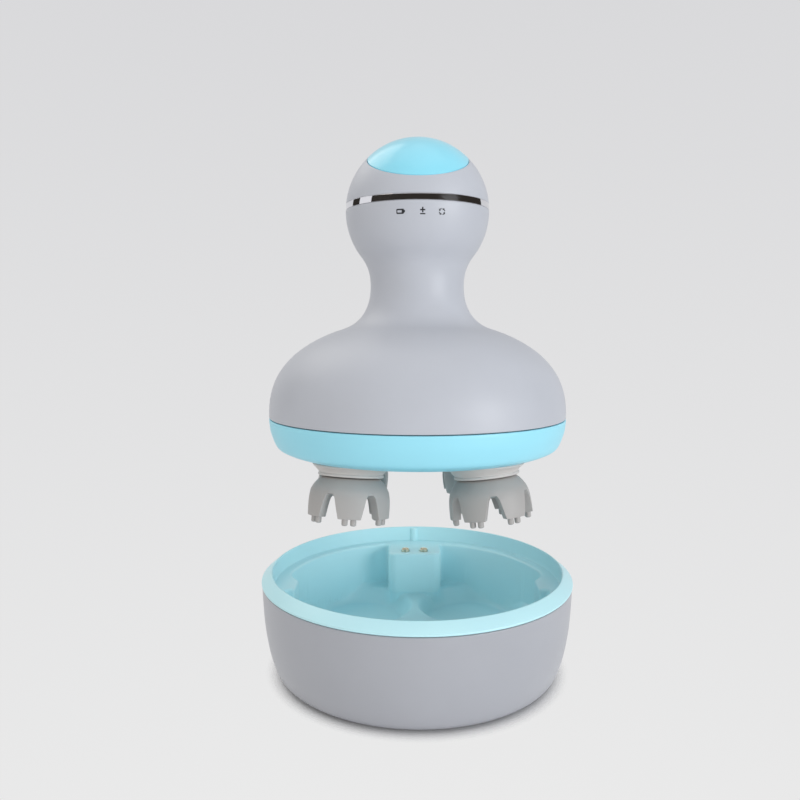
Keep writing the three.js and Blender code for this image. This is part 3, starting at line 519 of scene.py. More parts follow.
def lug_blend(turn, grow):
    """The hollow curve from the back of a lug's face to the bowl's wall, moved out by grow."""
    end = Vector((math.cos(math.radians(turn)), math.sin(math.radians(turn)))) * BOWL_RADIUS
    along = Vector((-end.y, end.x)) / BOWL_RADIUS
    start = Vector((LUG_REACH, LUG_REAR))
    points = [start.to_tuple()] + cubic([start, start + Vector((1, 2.7)), end - 5 * along, end], 12)
    curve = []
    for i, (x, y) in enumerate(points):
        before = points[max(i - 1, 0)]
        after = points[min(i + 1, len(points) - 1)]
        away = Vector((after[1] - before[1], before[0] - after[0])).normalized()
        curve.append((x + grow * away.x, y + grow * away.y))
    return curve


def bowl_plan(grow, pillar_grow):
    """The bowl's plan, its walls moved out by grow and the pillar's by pillar_grow more."""
    fillet = BOWL_FILLET
    lug_y = LUG_FRONT - fillet
    lug_x = math.sqrt((BOWL_RADIUS - fillet) ** 2 - lug_y ** 2)
    lug_turn = math.degrees(math.atan2(lug_y, lug_x))
    blend_turn = math.degrees(math.asin((LUG_REAR + LUG_BLEND) / BOWL_RADIUS))
    pillar_x = PILLAR_HALF + fillet
    pillar_y = math.sqrt((BOWL_RADIUS - fillet) ** 2 - pillar_x ** 2)
    pillar_turn = math.degrees(math.atan2(pillar_y, pillar_x))
    low_side = LUG_FRONT + LUG_CORNER
    both = grow + pillar_grow
    face = PILLAR_FRONT + PILLAR_CORNER
    edge = PILLAR_HALF - PILLAR_CORNER
    right = plan_arc(0, 0, BOWL_RADIUS, -90, lug_turn, 72, grow)
    right += plan_arc(lug_x, lug_y, fillet, lug_turn, 90, 8, grow)
    right += plan_arc(LUG_REACH + LUG_CORNER, low_side, LUG_CORNER, -90, -180, 8, grow)
    right += [(LUG_REACH + grow, low_side + (LUG_REAR - low_side) * k / 6) for k in range(1, 6)]
    right += lug_blend(blend_turn, grow)
    right += plan_arc(0, 0, BOWL_RADIUS, blend_turn, pillar_turn, 56, grow)[1:]
    right += plan_arc(pillar_x, pillar_y, fillet, pillar_turn, 180, 8, grow)[1:]
    right += [(PILLAR_HALF - both, face + (pillar_y - face) * (8 - k) / 8) for k in range(1, 8)]
    right += plan_arc(edge, face, PILLAR_CORNER, 0, -90, 10, both)
    right += [(edge * (8 - k) / 8, PILLAR_FRONT + both) for k in range(1, 8)]
    left = [(-x, y) for x, y in reversed(right[1:])]
    return right + [(0, PILLAR_FRONT + both)] + left


def box_distance(x, y, half, near, far, radius):
    """How far a point lies outside a rounded block that runs in x from near to far."""
    middle = (near + far) / 2
    dx = abs(x - middle) - (far - near) / 2 + radius
    dy = abs(y) - half + radius
    return math.hypot(max(dx, 0), max(dy, 0)) + min(max(dx, dy), 0) - radius


def eased(share):
    """A share from 0 to 1 with a soft start and end."""
    return share * share * (3 - 2 * share)


def floor_height(x, y):
    """The bowl's floor: a ridge between four round hollows, rising softly to the walls."""
    spot = POCKET_CIRCLE * math.sqrt(0.5)
    away = math.hypot(abs(x) - spot, abs(y) - spot)
    share = min(max((away - POCKET_SLOPE[0]) / (POCKET_SLOPE[1] - POCKET_SLOPE[0]), 0), 1)
    height = POCKET_HEIGHT + (RIDGE_HEIGHT - POCKET_HEIGHT) * eased(share)
    wall = min(BOWL_RADIUS - math.hypot(x, y),
               box_distance(abs(x), y - (LUG_FRONT + LUG_REAR) / 2, (LUG_REAR - LUG_FRONT) / 2,
                            LUG_REACH, 60, LUG_CORNER),
               box_distance(y, x, PILLAR_HALF - 1, PILLAR_FRONT + 1, 60, PILLAR_CORNER))
    rise = max(1 - max(wall, 0) / FLOOR_RISE_WIDTH, 0)
    return height + FLOOR_RISE * rise ** 2


def bowl_tool():
    """What the bowl's walls leave free, its upper edge flared where the shelf is rounded."""
    pillar_low = RIDGE_HEIGHT + 0.25
    levels = [(6.0, 0, PILLAR_ROUND), (pillar_low, 0, PILLAR_ROUND)]
    for k in range(1, 7):
        t = math.radians(15 * k)
        levels.append((pillar_low + PILLAR_ROUND * math.sin(t), 0, PILLAR_ROUND * math.cos(t)))
    for k in range(7):
        t = math.radians(15 * k)
        levels.append((SHELF_HEIGHT - SHELF_ROUND + SHELF_ROUND * math.sin(t),
                       SHELF_ROUND * (1 - math.cos(t)), 0))
    levels.append((SHELF_HEIGHT + 1, SHELF_ROUND, 0))
    return skinned("tool", [[(x, y, z) for x, y in bowl_plan(grow, pillar)]
                            for z, grow, pillar in levels])


def floor_cake():
    """A thick disc whose top is the bowl's floor."""
    rings = [0.45 * k for k in range(103)]
    cake = spun("tool", [(r, 20) for r in rings] + [(46.7, 20), (46.7, 6.95), (45.3, 5.55),
                                                         (0, 5.55)], 232)
    for vertex in cake.data.vertices:
        if vertex.co.z > 10 * MM:
            vertex.co.z = floor_height(vertex.co.x / MM, vertex.co.y / MM) * MM
    return cake


def rod(radius, low, high, x=0, y=0, steps=48):
    """A plain round tool."""
    bpy.ops.mesh.primitive_cylinder_add(vertices=steps, radius=radius * MM,
                                        depth=(high - low) * MM,
                                        location=(x * MM, y * MM, (low + high) / 2 * MM))
    bpy.ops.object.transform_apply()
    return bpy.context.object


def block(x0, x1, y0, y1, z0, z1):
    """A plain square tool."""
    bpy.ops.mesh.primitive_cube_add(size=1, location=(0, 0, 0))
    tool = bpy.context.object
    tool.location = ((x0 + x1) / 2 * MM, (y0 + y1) / 2 * MM, (z0 + z1) / 2 * MM)
    tool.scale = ((x1 - x0) * MM, (y1 - y0) * MM, (z1 - z0) * MM)
    bpy.ops.object.transform_apply()
    return tool


def key_rib():
    """The rounded rib that stands on the recess at the back, its top rounded over."""
    plan = corner(0, RIB_FRONT + RIB_HALF, RIB_HALF, 0, -180, 12)
    plan += [(-RIB_HALF, RIB_BACK), (RIB_HALF, RIB_BACK)]
    levels = [(SHELF_HEIGHT - 0.5, 0)]
    for k in range(6):
        t = math.radians(18 * k)
        levels.append((RIM_TOP - RIB_DROP - RIB_ROUND * (1 - math.sin(t)),
                       RIB_ROUND * (1 - math.cos(t))))
    loops = []
    for z, shrink in levels:
        narrow = 1 - shrink / RIB_HALF
        shallow = 1 - shrink / 3
        loops.append([(x * narrow, RIB_BACK - (RIB_BACK - y) * shallow, z) for x, y in plan])
    return skinned("tool", loops)


pale_blue = finish("pale_blue", paint(202, 246, 255), 0.34, grain=0.2, depth=0.003, drift=0.03)

dock_liner = spun("dock_bowl", [
    (0, LINER_LOW), (LINER_RADIUS - 2.5, LINER_LOW), (LINER_RADIUS, LINER_LOW + 2.5),
    (LINER_RADIUS, 26.85), (RECESS_OUTER, 27.45),
    (RECESS_OUTER, DOCK_HEIGHT - RIM_THICKNESS), (RIM_RADIUS - 0.2, DOCK_HEIGHT - RIM_THICKNESS),
    *corner(RIM_RADIUS - 0.2, DOCK_HEIGHT - 0.8, 0.2, -60, 0, 3),
    *corner(RIM_RADIUS - RIM_ROUND, DOCK_HEIGHT - 0.5, RIM_ROUND, 0, 50, 4),
    *corner(RECESS_RADIUS + RIM_ROUND, RIM_TOP - RIM_ROUND, RIM_ROUND, 50, 180, 6),
    *corner(RECESS_RADIUS - 0.5, SHELF_HEIGHT + 0.5, 0.5, 0, -90, 5), (0, SHELF_HEIGHT)])
cut_with(dock_liner, [bowl_tool()])
cut_with(dock_liner, [key_rib(), floor_cake()], 'UNION')
cut_with(dock_liner, [
    rod(SLEEVE_RADIUS + 0.3, 24, 31, -CONTACT_X, CONTACT_Y),
    rod(SLEEVE_RADIUS + 0.3, 24, 31, CONTACT_X, CONTACT_Y),
    block(-PILLAR_HOLLOW, PILLAR_HOLLOW, 32.6, 46.1, 0, 27.45),
    inlet_tool(0.5, 40, 54)])
fit(dock_liner, "dock", "blue_plastic", pale_blue, "dock_liner")


# Contacts
# Two sprung contacts in the pillar's top: a gold-plated sleeve with a turned lip, pressed
# into the plastic, and a round-ended pin that slides in it.

SLEEVE_PROUD = 0.9
SLEEVE_LENGTH = 10.1
SLEEVE_BORE = 1.05
PIN_PROUD = 1.3
PIN_LENGTH = 6.9
PIN_RADIUS = 0.75
PIN_ROUND = 0.55
gold_plate = finish("gold_plate", paint(240, 228, 204), 0.32, metallic=1, grain=0.08,
                    depth=0.001, drift=0.06)


def moved(piece, x, y, z=0):
    """The piece shifted by millimetres, in its mesh."""
    return edited(piece, bpy.ops.transform.translate, value=(x * MM, y * MM, z * MM))


for side, x in (("left", -CONTACT_X), ("right", CONTACT_X)):
    lip = SHELF_HEIGHT + SLEEVE_PROUD
    low = lip - SLEEVE_LENGTH
    sleeve = spun("contact_sleeve_" + side, [
        (0, low), (SLEEVE_RADIUS, low), (SLEEVE_RADIUS, lip - 0.2),
        *corner(SLEEVE_RADIUS - 0.2, lip - 0.2, 0.2, 20, 160), (SLEEVE_BORE + 0.1, lip - 0.3),
        (SLEEVE_BORE, lip - 0.6), (SLEEVE_BORE, low + 1), (0, low + 1)], 48)
    fit(moved(sleeve, x, CONTACT_Y), "dock", "gold", gold_plate, "pogo_sleeve_" + side)
    tip = SHELF_HEIGHT + PIN_PROUD
    pin = spun("contact_pin_" + side, [
        (0, tip - PIN_LENGTH), (PIN_RADIUS, tip - PIN_LENGTH), (PIN_RADIUS, tip - PIN_ROUND),
        *corner(PIN_RADIUS - PIN_ROUND, tip - PIN_ROUND, PIN_ROUND, 0, 90, 6), (0, tip)], 36)
    fit(moved(pin, x, CONTACT_Y), "pogo_pin_" + side, "gold", gold_plate, "pogo_pin_" + side)


# Dock underside
# A dark base plate set into the shell, held by three countersunk screws and standing on
# four ribbed rubber feet.

moulded_black = finish("moulded_black", paint(62, 64, 68), 0.55, grain=0.3, depth=0.01)
soft_rubber = finish("soft_rubber", paint(46, 47, 49), 0.75, grain=0.2, depth=0.012)
bright_steel = finish("bright_steel", paint(190, 193, 198), 0.3, metallic=1, grain=0.12,
                      depth=0.002, drift=0.08)
FOOT_CIRCLE = 33
FOOT_SPOTS = [(FOOT_CIRCLE * math.cos(math.radians(a)), FOOT_CIRCLE * math.sin(math.radians(a)))
              for a in (45, 135, 225, 315)]
SCREW_CIRCLE = 36
SCREW_SPOTS = [(SCREW_CIRCLE, 0), (-SCREW_CIRCLE, 0), (0, -SCREW_CIRCLE)]

base_plate = spun("dock_plate", [
    (0, 1), (43.8, 1), *corner(44.6, 1.4, 0.4, -90, 0, 3), (45, 3), (0, 3)])
cut_with(base_plate, [rod(5.3, 0, 1.5, x, y) for x, y in FOOT_SPOTS])
cut_with(base_plate, [rod(4, 1.2, 4.9, x, y) for x, y in SCREW_SPOTS]
         + [block(-7, -5, 33.6, 42.8, 2, 3.3), block(5, 7, 33.6, 42.8, 2, 3.3)], 'UNION')
cut_with(base_plate, [rod(1.7, 0, 5.2, x, y, 32) for x, y in SCREW_SPOTS]
         + [rod(3.1, 0, 2.6, x, y) for x, y in SCREW_SPOTS])
fit(base_plate, "dock", "dark_plastic", moulded_black, "dock_base_plate")

for number, (x, y) in enumerate(FOOT_SPOTS, 1):
    foot = spun(f"rubber_foot_{number}", [
        (0, 0.35), (1.4, 0.35), *corner(1.8, 0.2, 0.2, 180, 270, 3), (2.3, 0), (2.5, 0.2),
        (2.9, 0.2), (3.1, 0), (3.5, 0), (3.7, 0.2), (4.1, 0.2), (4.3, 0),
        *corner(4.6, 0.4, 0.4, -90, 0, 4), (5, 1.2), (0, 1.2)], 56)
    fit(moved(foot, x, y), "dock", "foot_rubber", soft_rubber, f"dock_foot_{number}")


def add_screw(name, low, length, x, y, upwards, body, node):
    """A pan-head screw with a cross recess, its head down, or up where upwards is true."""
    screw = spun(name, [
        (0, 0.05), (1.6, 0.05), *corner(2.1, 0.6, 0.55, -90, -20, 4), (2.8, 0.8), (2.8, 1),
        (1.4, 1), (1.4, length - 0.8), (0.9, length), (0, length)], 40)
    cut_with(screw, [block(-1.3, 1.3, -0.25, 0.25, -0.5, 0.6),
                     block(-0.25, 0.25, -1.3, 1.3, -0.5, 0.6)])
    if upwards:
        edited(screw, bpy.ops.transform.rotate, value=math.pi, orient_axis='X',
               center_override=(0, 0, 0.5 * MM))
    fit(moved(screw, x, y, low), body, "steel", bright_steel, node)


for number, node in enumerate(("dock_screw_1", "dock_screw_2", "dock_screw_3"), 1):
    low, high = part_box(node)
    middle = (low + high) / 2 / MM
    add_screw(f"plate_fixing_{number}", low.z / MM, 9.3, middle.x, middle.y, False, "dock", node)


# Charging inlet
# A folded steel socket with a tongue of the same steel, soldered to a green board inside the
# pillar. A plastic holder on the board carries the contact sleeves.

board_green = finish("board_green", paint(40, 108, 66), 0.35, grain=0.5, depth=0.004, drift=0.12)
low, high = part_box("dock_usb_socket")
socket_low, socket_high = low / MM, high / MM
middle_z = (socket_low.z + socket_high.z) / 2
half_x = (socket_high.x - socket_low.x) / 2
half_z = (socket_high.z - socket_low.z) / 2


def socket_loop(shrink, y):
    """The socket's rounded outline, drawn in by shrink, at one y."""
    loop = rounded_box_loop(half_x - shrink, half_z - shrink, 1.2 - shrink)
    return [(x, y, middle_z + z) for x, z in loop]


socket = skinned("inlet_socket", [
    socket_loop(0.05, socket_low.y), socket_loop(0, socket_low.y + 0.05),
    socket_loop(0, socket_high.y - 0.1), socket_loop(0.1, socket_high.y),
    socket_loop(0.25, socket_high.y), socket_loop(0.35, socket_high.y - 0.1),
    socket_loop(0.35, socket_low.y + 1.2)])
cut_with(socket, [block(-3.2, 3.2, socket_low.y + 0.5, socket_high.y - 1,
                        middle_z - 0.4, middle_z + 0.4)], 'UNION')
fit(socket, "dock", "steel", bright_steel, "dock_usb_socket")
for node, material in (("dock_circuit_board", board_green), ("pogo_holder", moulded_black)):
    wear(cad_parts[node], material)


# Main shell
# The grey dome, neck and lower half of the head, one satin moulding that the hand holds.
# Its lower edge steps over the base, and a seal fills the joint.

SEAM = 87.65
SEAM_RADIUS = 50.0
DOME_HEIGHT = 33.0
DOME_POWER = 2.5
DOME_END = 29.4
NECK_RADIUS = 15.7
NECK_HEIGHT = 43.5
HEAD_RADIUS = 23.9
HEAD_HEIGHT = 68.3
HEAD_BLEND = 14.6
WALL = 2.2
RING_LOW = HEAD_HEIGHT + 0.15
RING_TOP = RING_LOW + 2
RING_GAP = 0.08


def dome_radius(height):
    """The dome's radius at a height over the seam, flatter on top than an ellipse."""
    return SEAM_RADIUS * math.sqrt(1 - (height / DOME_HEIGHT) ** DOME_POWER)


def grip_outline():
    """The outside from the seam to the ring, heights from the seam."""
    dome = [(dome_radius(z), z) for z in
            [0.5 + (DOME_END - 0.5) * math.sin(math.radians(3.75 * k)) for k in range(25)]]
    r, z = dome[-1]
    neck = cubic([(r, z), (r - 7.15, z + 2.25), (NECK_RADIUS, NECK_HEIGHT - 5.5),
                  (NECK_RADIUS, NECK_HEIGHT)], 16)
    turn = math.asin(HEAD_BLEND / HEAD_RADIUS)
    joint = (HEAD_RADIUS * math.cos(turn), HEAD_HEIGHT - HEAD_BLEND)
    handle = (joint[0] - 4.5 * math.sin(turn), joint[1] - 4.5 * math.cos(turn))
    flare = cubic([(NECK_RADIUS, NECK_HEIGHT), (NECK_RADIUS, NECK_HEIGHT + 3.5), handle, joint],
                  12)
    top = math.degrees(math.asin((RING_LOW - 0.2 - HEAD_HEIGHT) / HEAD_RADIUS))
    head = corner(0, HEAD_HEIGHT, HEAD_RADIUS, -math.degrees(turn), top, 16)[1:]
    return dome + neck + flare + head


def moved_in(outline, wall):
    """An outline moved in by a wall."""
    inner = []
    for i, (r, z) in enumerate(outline):
        before = outline[max(i - 1, 0)]
        after = outline[min(i + 1, len(outline) - 1)]
        along = Vector((after[0] - before[0], after[1] - before[1])).normalized()
        inner.append((r - wall * along.y, z + wall * along.x))
    return inner


grip = grip_outline()
inside = [point for point in moved_in(grip, WALL) if point[1] > 4]
inside[-1] = (inside[-1][0], RING_LOW - RING_GAP)
main_shell = spun("grip_shell", [(r, SEAM + z) for r, z in [
    (SEAM_RADIUS - WALL, 0.15), (49.75, 0.15), *corner(49.73, 0.42, 0.27, -80, -10, 4), *grip,
    (HEAD_RADIUS - 0.03, RING_LOW - 0.12), (HEAD_RADIUS - 0.1, RING_LOW - RING_GAP),
    *reversed(inside), (SEAM_RADIUS - WALL, 3.6), (SEAM_RADIUS - WALL, 0.15)]])
fit(main_shell, "handset", "grey_plastic", satin_grey, "main_shell")


# Printed symbols
# Three small generic symbols in black ink under the ring: a battery, plus over minus, and
# four arrows that turn. Each is a thin print laid on the curve of the head.

SYMBOL_DROP = -3.3
INK = 0.03
BATTERY_X = -5.75
ARROWS_X = 7
black_ink = finish("black_ink", paint(38, 38, 42), 0.5, grain=0.1, depth=0.001)


def printed(name, shapes):
    """Flat shapes of x and z laid on the head. A shape of two loops is a frame."""
    prints = []
    for loops in shapes:
        if len(loops) == 2:
            outer, inner = loops
            skin = [[(x, 0, z) for x, z in outer], [(x, 1, z) for x, z in outer],
                    [(x, 1, z) for x, z in inner], [(x, 0, z) for x, z in inner],
                    [(x, 0, z) for x, z in outer]]
            prints.append(skinned(name, skin, joined=True))
        else:
            prints.append(skinned(name, [[(x, y, z) for x, z in loops[0]] for y in (0, 1)]))
    bpy.ops.object.select_all(action='DESELECT')
    for piece in prints:
        piece.select_set(True)
    bpy.context.view_layer.objects.active = prints[0]
    if len(prints) > 1:
        bpy.ops.object.join()
    piece = bpy.context.object
    piece.name = name
    for vertex in piece.data.vertices:
        x, z = vertex.co.x / MM, vertex.co.z / MM
        front = vertex.co.y < 0.5 * MM
        radius = HEAD_RADIUS + (INK if front else -INK)
        y = -math.sqrt(radius ** 2 - x ** 2 - (SYMBOL_DROP + z) ** 2)
        vertex.co = Vector((x, y, SEAM + HEAD_HEIGHT + SYMBOL_DROP + z)) * MM
    edited(piece, bpy.ops.mesh.normals_make_consistent, inside=False)
    fit(piece, "handset", "dark_plastic", black_ink)


def shifted(loop, x):
    """A loop moved sideways."""
    return [(px + x, z) for px, z in loop]


def bar(x0, x1, z0, z1):
    """A straight stroke in short steps, so that it follows the curve of the head."""
    steps = 6
    low = [(x0 + (x1 - x0) * k / steps, z0) for k in range(steps + 1)]
    return low + [(x, z1) for x, _ in reversed(low)]


def turning_arrow(x, first):
    """A quarter of a ring with an arrow head at its end."""
    outer = corner(x, 0, 1.0, first, first + 42, 6)
    inner = corner(x, 0, 0.72, first + 42, first, 6)
    tip = [corner(x, 0, radius, first + turn, first + turn, 1)[0]
           for radius, turn in ((1.26, 38), (0.9, 76), (0.46, 38))]
    return [[outer + inner], [tip]]


frame_loop = rounded_box_loop(1.15, 0.75, 0.3)
printed("symbol_battery", [
    [shifted(frame_loop, BATTERY_X),
     shifted([(x * 0.58, z * 0.46) for x, z in frame_loop], BATTERY_X - 0.2)],
    [bar(-4.6, -4.3, -0.35, 0.35)]])
printed("symbol_level", [
    [bar(0.3, 1.9, 0.2, 0.6)], [bar(0.9, 1.3, 0.6, 1.2)], [bar(0.9, 1.3, -0.4, 0.2)],
    [bar(0.3, 1.9, -0.95, -0.6)]])
printed("symbol_turn", [shape for first in (10, 100, 190, 280)
                        for shape in turning_arrow(ARROWS_X, first)])


# Trim ring
# A polished, plated ring between the two halves of the head. Its spigot is pressed into
# the main shell.

SPIGOT_INNER = 19.6
SPIGOT_OUTER = 21.3
SPIGOT_REACH = 1.55
RING_EDGE = 0.06
RING_RADIUS = HEAD_RADIUS - 0.03
polished_chrome = finish("polished_chrome", paint(232, 232, 236), 0.06, metallic=1, grain=0.06,
                         depth=0.0004, drift=0.03)
ring = spun("polished_ring", [(r, SEAM + z) for r, z in [
    (SPIGOT_INNER, RING_LOW - SPIGOT_REACH), (SPIGOT_OUTER - 0.1, RING_LOW - SPIGOT_REACH),
    (SPIGOT_OUTER, RING_LOW - SPIGOT_REACH + 0.1), (SPIGOT_OUTER, RING_LOW),
    (RING_RADIUS - 0.15, RING_LOW),
    *corner(RING_RADIUS - RING_EDGE, RING_LOW + RING_EDGE, RING_EDGE, -90, 0, 4),
    *corner(RING_RADIUS - RING_EDGE, RING_TOP - RING_EDGE, RING_EDGE, 0, 90, 4),
    (SPIGOT_INNER + 0.1, RING_TOP), (SPIGOT_INNER, RING_TOP - 0.1),
    (SPIGOT_INNER, RING_LOW - SPIGOT_REACH)]])
fit(ring, "handset", "chrome", polished_chrome, "trim_ring")


# Upper shell
# The grey top of the head, a thin sphere with a round hole for the button on an axis that
# leans forward. Its lower edge stands a hair above the ring.

BUTTON_LEAN = math.radians(28)
BUTTON_RADIUS = 16.3
HOLE_RADIUS = BUTTON_RADIUS + 0.12
HOLE_ROUND = 0.15
LEAN_TURN = Matrix.Rotation(BUTTON_LEAN, 3, 'X')
SHELL_LOOP = 160


def level_circle(radius, height):
    """A level ring of points about the head's centre."""
    turn = [2 * math.pi * k / SHELL_LOOP for k in range(SHELL_LOOP)]
    return [Vector((radius * math.cos(a), radius * math.sin(a), height)) for a in turn]


def leaning_circle(radius, height):
    """The same ring about the button's axis."""
    return [LEAN_TURN @ point for point in level_circle(radius, height)]


def over_sphere(first, last, steps):
    """Loops that cross a sphere evenly from one circle on it to another."""
    loops = []
    for k in range(1, steps):
        share = k / steps
        loop = []
        for a, b in zip(first, last):
            angle = a.angle(b)
            loop.append((a * math.sin((1 - share) * angle) + b * math.sin(share * angle))
                        / math.sin(angle))
        loops.append(loop)
    return loops


def sphere_circle(circle, radius, height):
    """The ring of a sphere at a height along its axis."""
    return circle(math.sqrt(radius ** 2 - height ** 2), height)


edge_height = math.sqrt(HEAD_RADIUS ** 2 - (HOLE_RADIUS + HOLE_ROUND) ** 2)
shell_low = RING_TOP + RING_GAP - HEAD_HEIGHT
outer_low = sphere_circle(level_circle, HEAD_RADIUS, shell_low + 0.05)
outer_high = leaning_circle(HOLE_RADIUS + HOLE_ROUND, edge_height)
inner_radius = HEAD_RADIUS - WALL
inner_edge = math.sqrt(inner_radius ** 2 - HOLE_RADIUS ** 2)
inner_low = sphere_circle(level_circle, inner_radius, shell_low)
hole_low = leaning_circle(HOLE_RADIUS, inner_edge)
loops = [sphere_circle(level_circle, HEAD_RADIUS - 0.05, shell_low), outer_low,
         *over_sphere(outer_low, outer_high, 22), outer_high]
for k in range(1, 5):
    t = math.radians(22.5 * k)
    loops.append(leaning_circle(HOLE_RADIUS + HOLE_ROUND * (1 - math.sin(t)),
                                edge_height - HOLE_ROUND * (1 - math.cos(t)) + 0.09 * k / 4))
loops += [hole_low, *over_sphere(hole_low, inner_low, 8), inner_low, loops[0]]
head_centre = Vector((0, 0, SEAM + HEAD_HEIGHT))
upper_shell = skinned("head_cap", [[point + head_centre for point in loop] for loop in loops],
                      joined=True)
fit(upper_shell, "handset", "grey_plastic", satin_grey, "upper_shell")


# Power button
# A glossy sky-blue cap, flush with the sphere of the head. Its stem runs down the leaning
# axis to a small switch on the main board.

glossy_blue = finish("glossy_blue", paint(144, 226, 247), 0.3, grain=0.15, depth=0.0015,
                     drift=0.03, coat=0.35)
BUTTON_LOW = math.sqrt(HEAD_RADIUS ** 2 - BUTTON_RADIUS ** 2) - 1.7
STEM_LOW = -4.1
STEM_RADIUS = 2
BUTTON_INNER = HEAD_RADIUS - 1.8
edge_turn = math.degrees(math.acos((BUTTON_RADIUS - 0.15) / HEAD_RADIUS))
cap_top = corner(0, 0, HEAD_RADIUS, edge_turn, 90, 24)[:-1]
inner_turn = math.degrees(math.asin(BUTTON_LOW / BUTTON_INNER))
stem_turn = math.degrees(math.acos(STEM_RADIUS / BUTTON_INNER))
under = corner(0, 0, BUTTON_INNER, inner_turn, stem_turn, 10)
button = spun("button_cap", [
    (0, STEM_LOW), (STEM_RADIUS - 0.2, STEM_LOW), (STEM_RADIUS, STEM_LOW + 0.2),
    *reversed(under),
    (BUTTON_RADIUS, BUTTON_LOW), (BUTTON_RADIUS, cap_top[0][1] - 0.3),
    (BUTTON_RADIUS - 0.04, cap_top[0][1] - 0.1), *cap_top, (0, HEAD_RADIUS)], 128)
button.data.transform(Matrix.Translation(head_centre * MM) @ LEAN_TURN.to_4x4())
fit(button, "power_button", "blue_plastic", glossy_blue, "power_button")


# Base housing
# The sky-blue underside of the handset. Its floor has four round holes for the shafts, each
# with a rubber seal, and two small wells with gold charging pads.

BAND = 11.5
POST_CIRCLE = 37.8
HEAD_SPOTS = {"front_left": (-1, -1), "front_right": (1, -1), "rear_left": (-1, 1),
              "rear_right": (1, 1)}
SPOT = POCKET_CIRCLE * math.sqrt(0.5)
sky_blue = finish("sky_blue", paint(160, 231, 249), 0.4, grain=0.2, depth=0.003, drift=0.03)
teal_seal = finish("teal_seal", paint(60, 112, 126), 0.6, grain=0.15, depth=0.004)

band = smooth_through([(43, -BAND), (45.6, -10.58), (47.7, -9.08), (49.4, -4.83), (49.93, -1.6),
                       (49.98, -0.5)])
base = spun("handset_base", [(r, SEAM + z) for r, z in [
    (0, -BAND), (42.4, -BAND), *band, *corner(49.73, -0.4, 0.25, 0, 80, 4), (49.1, -0.15),
    (49.1, -1.1), (47.5, -1.1), (47.5, 3), (45.6, 3), (45.6, -9.5), (0, -9.5)]])
shafts = [(SPOT * sx, SPOT * sy) for sx, sy in HEAD_SPOTS.values()]
posts = [(POST_CIRCLE, 0), (-POST_CIRCLE, 0), (0, -POST_CIRCLE)]
cut_with(base, [rod(6.2, SEAM - 10.5, SEAM - 7.8, x, y) for x, y in shafts]
         + [rod(3.5, SEAM - 10.5, SEAM - 0.7, x, y) for x, y in posts]
         + [rod(4.5, SEAM - 10.5, SEAM - 7.8)], 'UNION')
cut_with(base, [rod(4.35, SEAM - 13, SEAM - 6, x, y, 64) for x, y in shafts]
         + [rod(1.7, SEAM - 8.5, SEAM + 2, x, y) for x, y in posts]
         + [rod(2.3, SEAM - 9.5, SEAM - 6)]
         + [rod(2.2, SEAM - 13, SEAM - 8, x, CONTACT_Y) for x in (-CONTACT_X, CONTACT_X)])
fit(base, "handset", "blue_plastic", sky_blue, "base_housing")

seal = spun("seam_seal", [(r, SEAM + z) for r, z in [
    (47.8, -0.8), (48.8, -0.8), (48.8, -0.15), *corner(48.7, -0.1, 0.08, 0, 90, 3),
    (47.9, -0.02), (47.8, -0.1), (47.8, -0.8)]])
fit(seal, "handset", "seal_teal", teal_seal, "housing_gasket")

for side, x in (("left", -CONTACT_X), ("right", CONTACT_X)):
    pad = spun("charge_contact_" + side, [
        (0, SEAM - 10.12), (0.5, SEAM - 10.16), (1.5, SEAM - 10.2),
        *corner(1.7, SEAM - 10, 0.2, -90, 0, 3), (1.9, SEAM - 9.2), (2.9, SEAM - 9.2),
        (2.9, SEAM - 8.4), (0, SEAM - 8.4)], 44)
    fit(moved(pad, x, CONTACT_Y), "handset", "gold", gold_plate, "charge_pad_" + side)

for name, (sx, sy) in HEAD_SPOTS.items():
    lip_seal = spun("lip_seal_" + name, [(r, SEAM + z) for r, z in [
        (2.65, -10.9), (2.8, -11.2), (3.3, -11.05), (3.8, -11.2), (4.05, -11), (4.05, -8.1),
        (2.65, -8.1), (2.65, -10.9)]], 56)
    fit(moved(lip_seal, SPOT * sx, SPOT * sy), "handset", "foot_rubber", soft_rubber,
        "shaft_seal_" + name)


# Drive, battery and boards
# The works inside the closed shells: gears of white acetal on a gear plate, a steel motor
# and shafts, the battery in its cradle, and the main board with the switch and its guide.

white_acetal = finish("white_acetal", paint(226, 224, 214), 0.4, grain=0.3, depth=0.003)
cell_wrap = finish("cell_wrap", paint(64, 112, 168), 0.25, grain=0.6, depth=0.004, coat=0.3)
INSIDE = {
    white_acetal: ["gear_plate", "centre_gear", "motor_pinion"]
    + ["output_gear_" + name for name in HEAD_SPOTS],
    bright_steel: ["motor", "centre_axle"] + ["spindle_" + name for name in HEAD_SPOTS],
    moulded_black: ["battery_cradle", "button_guide", "tact_switch"],
    board_green: ["main_board"],
    cell_wrap: ["battery"],
}
for material, nodes in INSIDE.items():
    for node in nodes:
        wear(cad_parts[node], material)

for number, node in enumerate(("plate_screw_1", "plate_screw_2", "plate_screw_3"), 1):
    low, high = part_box(node)
    middle = (low + high) / 2 / MM
    add_screw(f"gear_plate_fixing_{number}", high.z / MM - 1, 9, middle.x, middle.y, True,
              "handset", node)


# Hubs
# Four pale collars under the base, one on each shaft. A hub starts level and round, leans
# outwards as it narrows, and ends in a lip over a peg that the silicone claw grips.

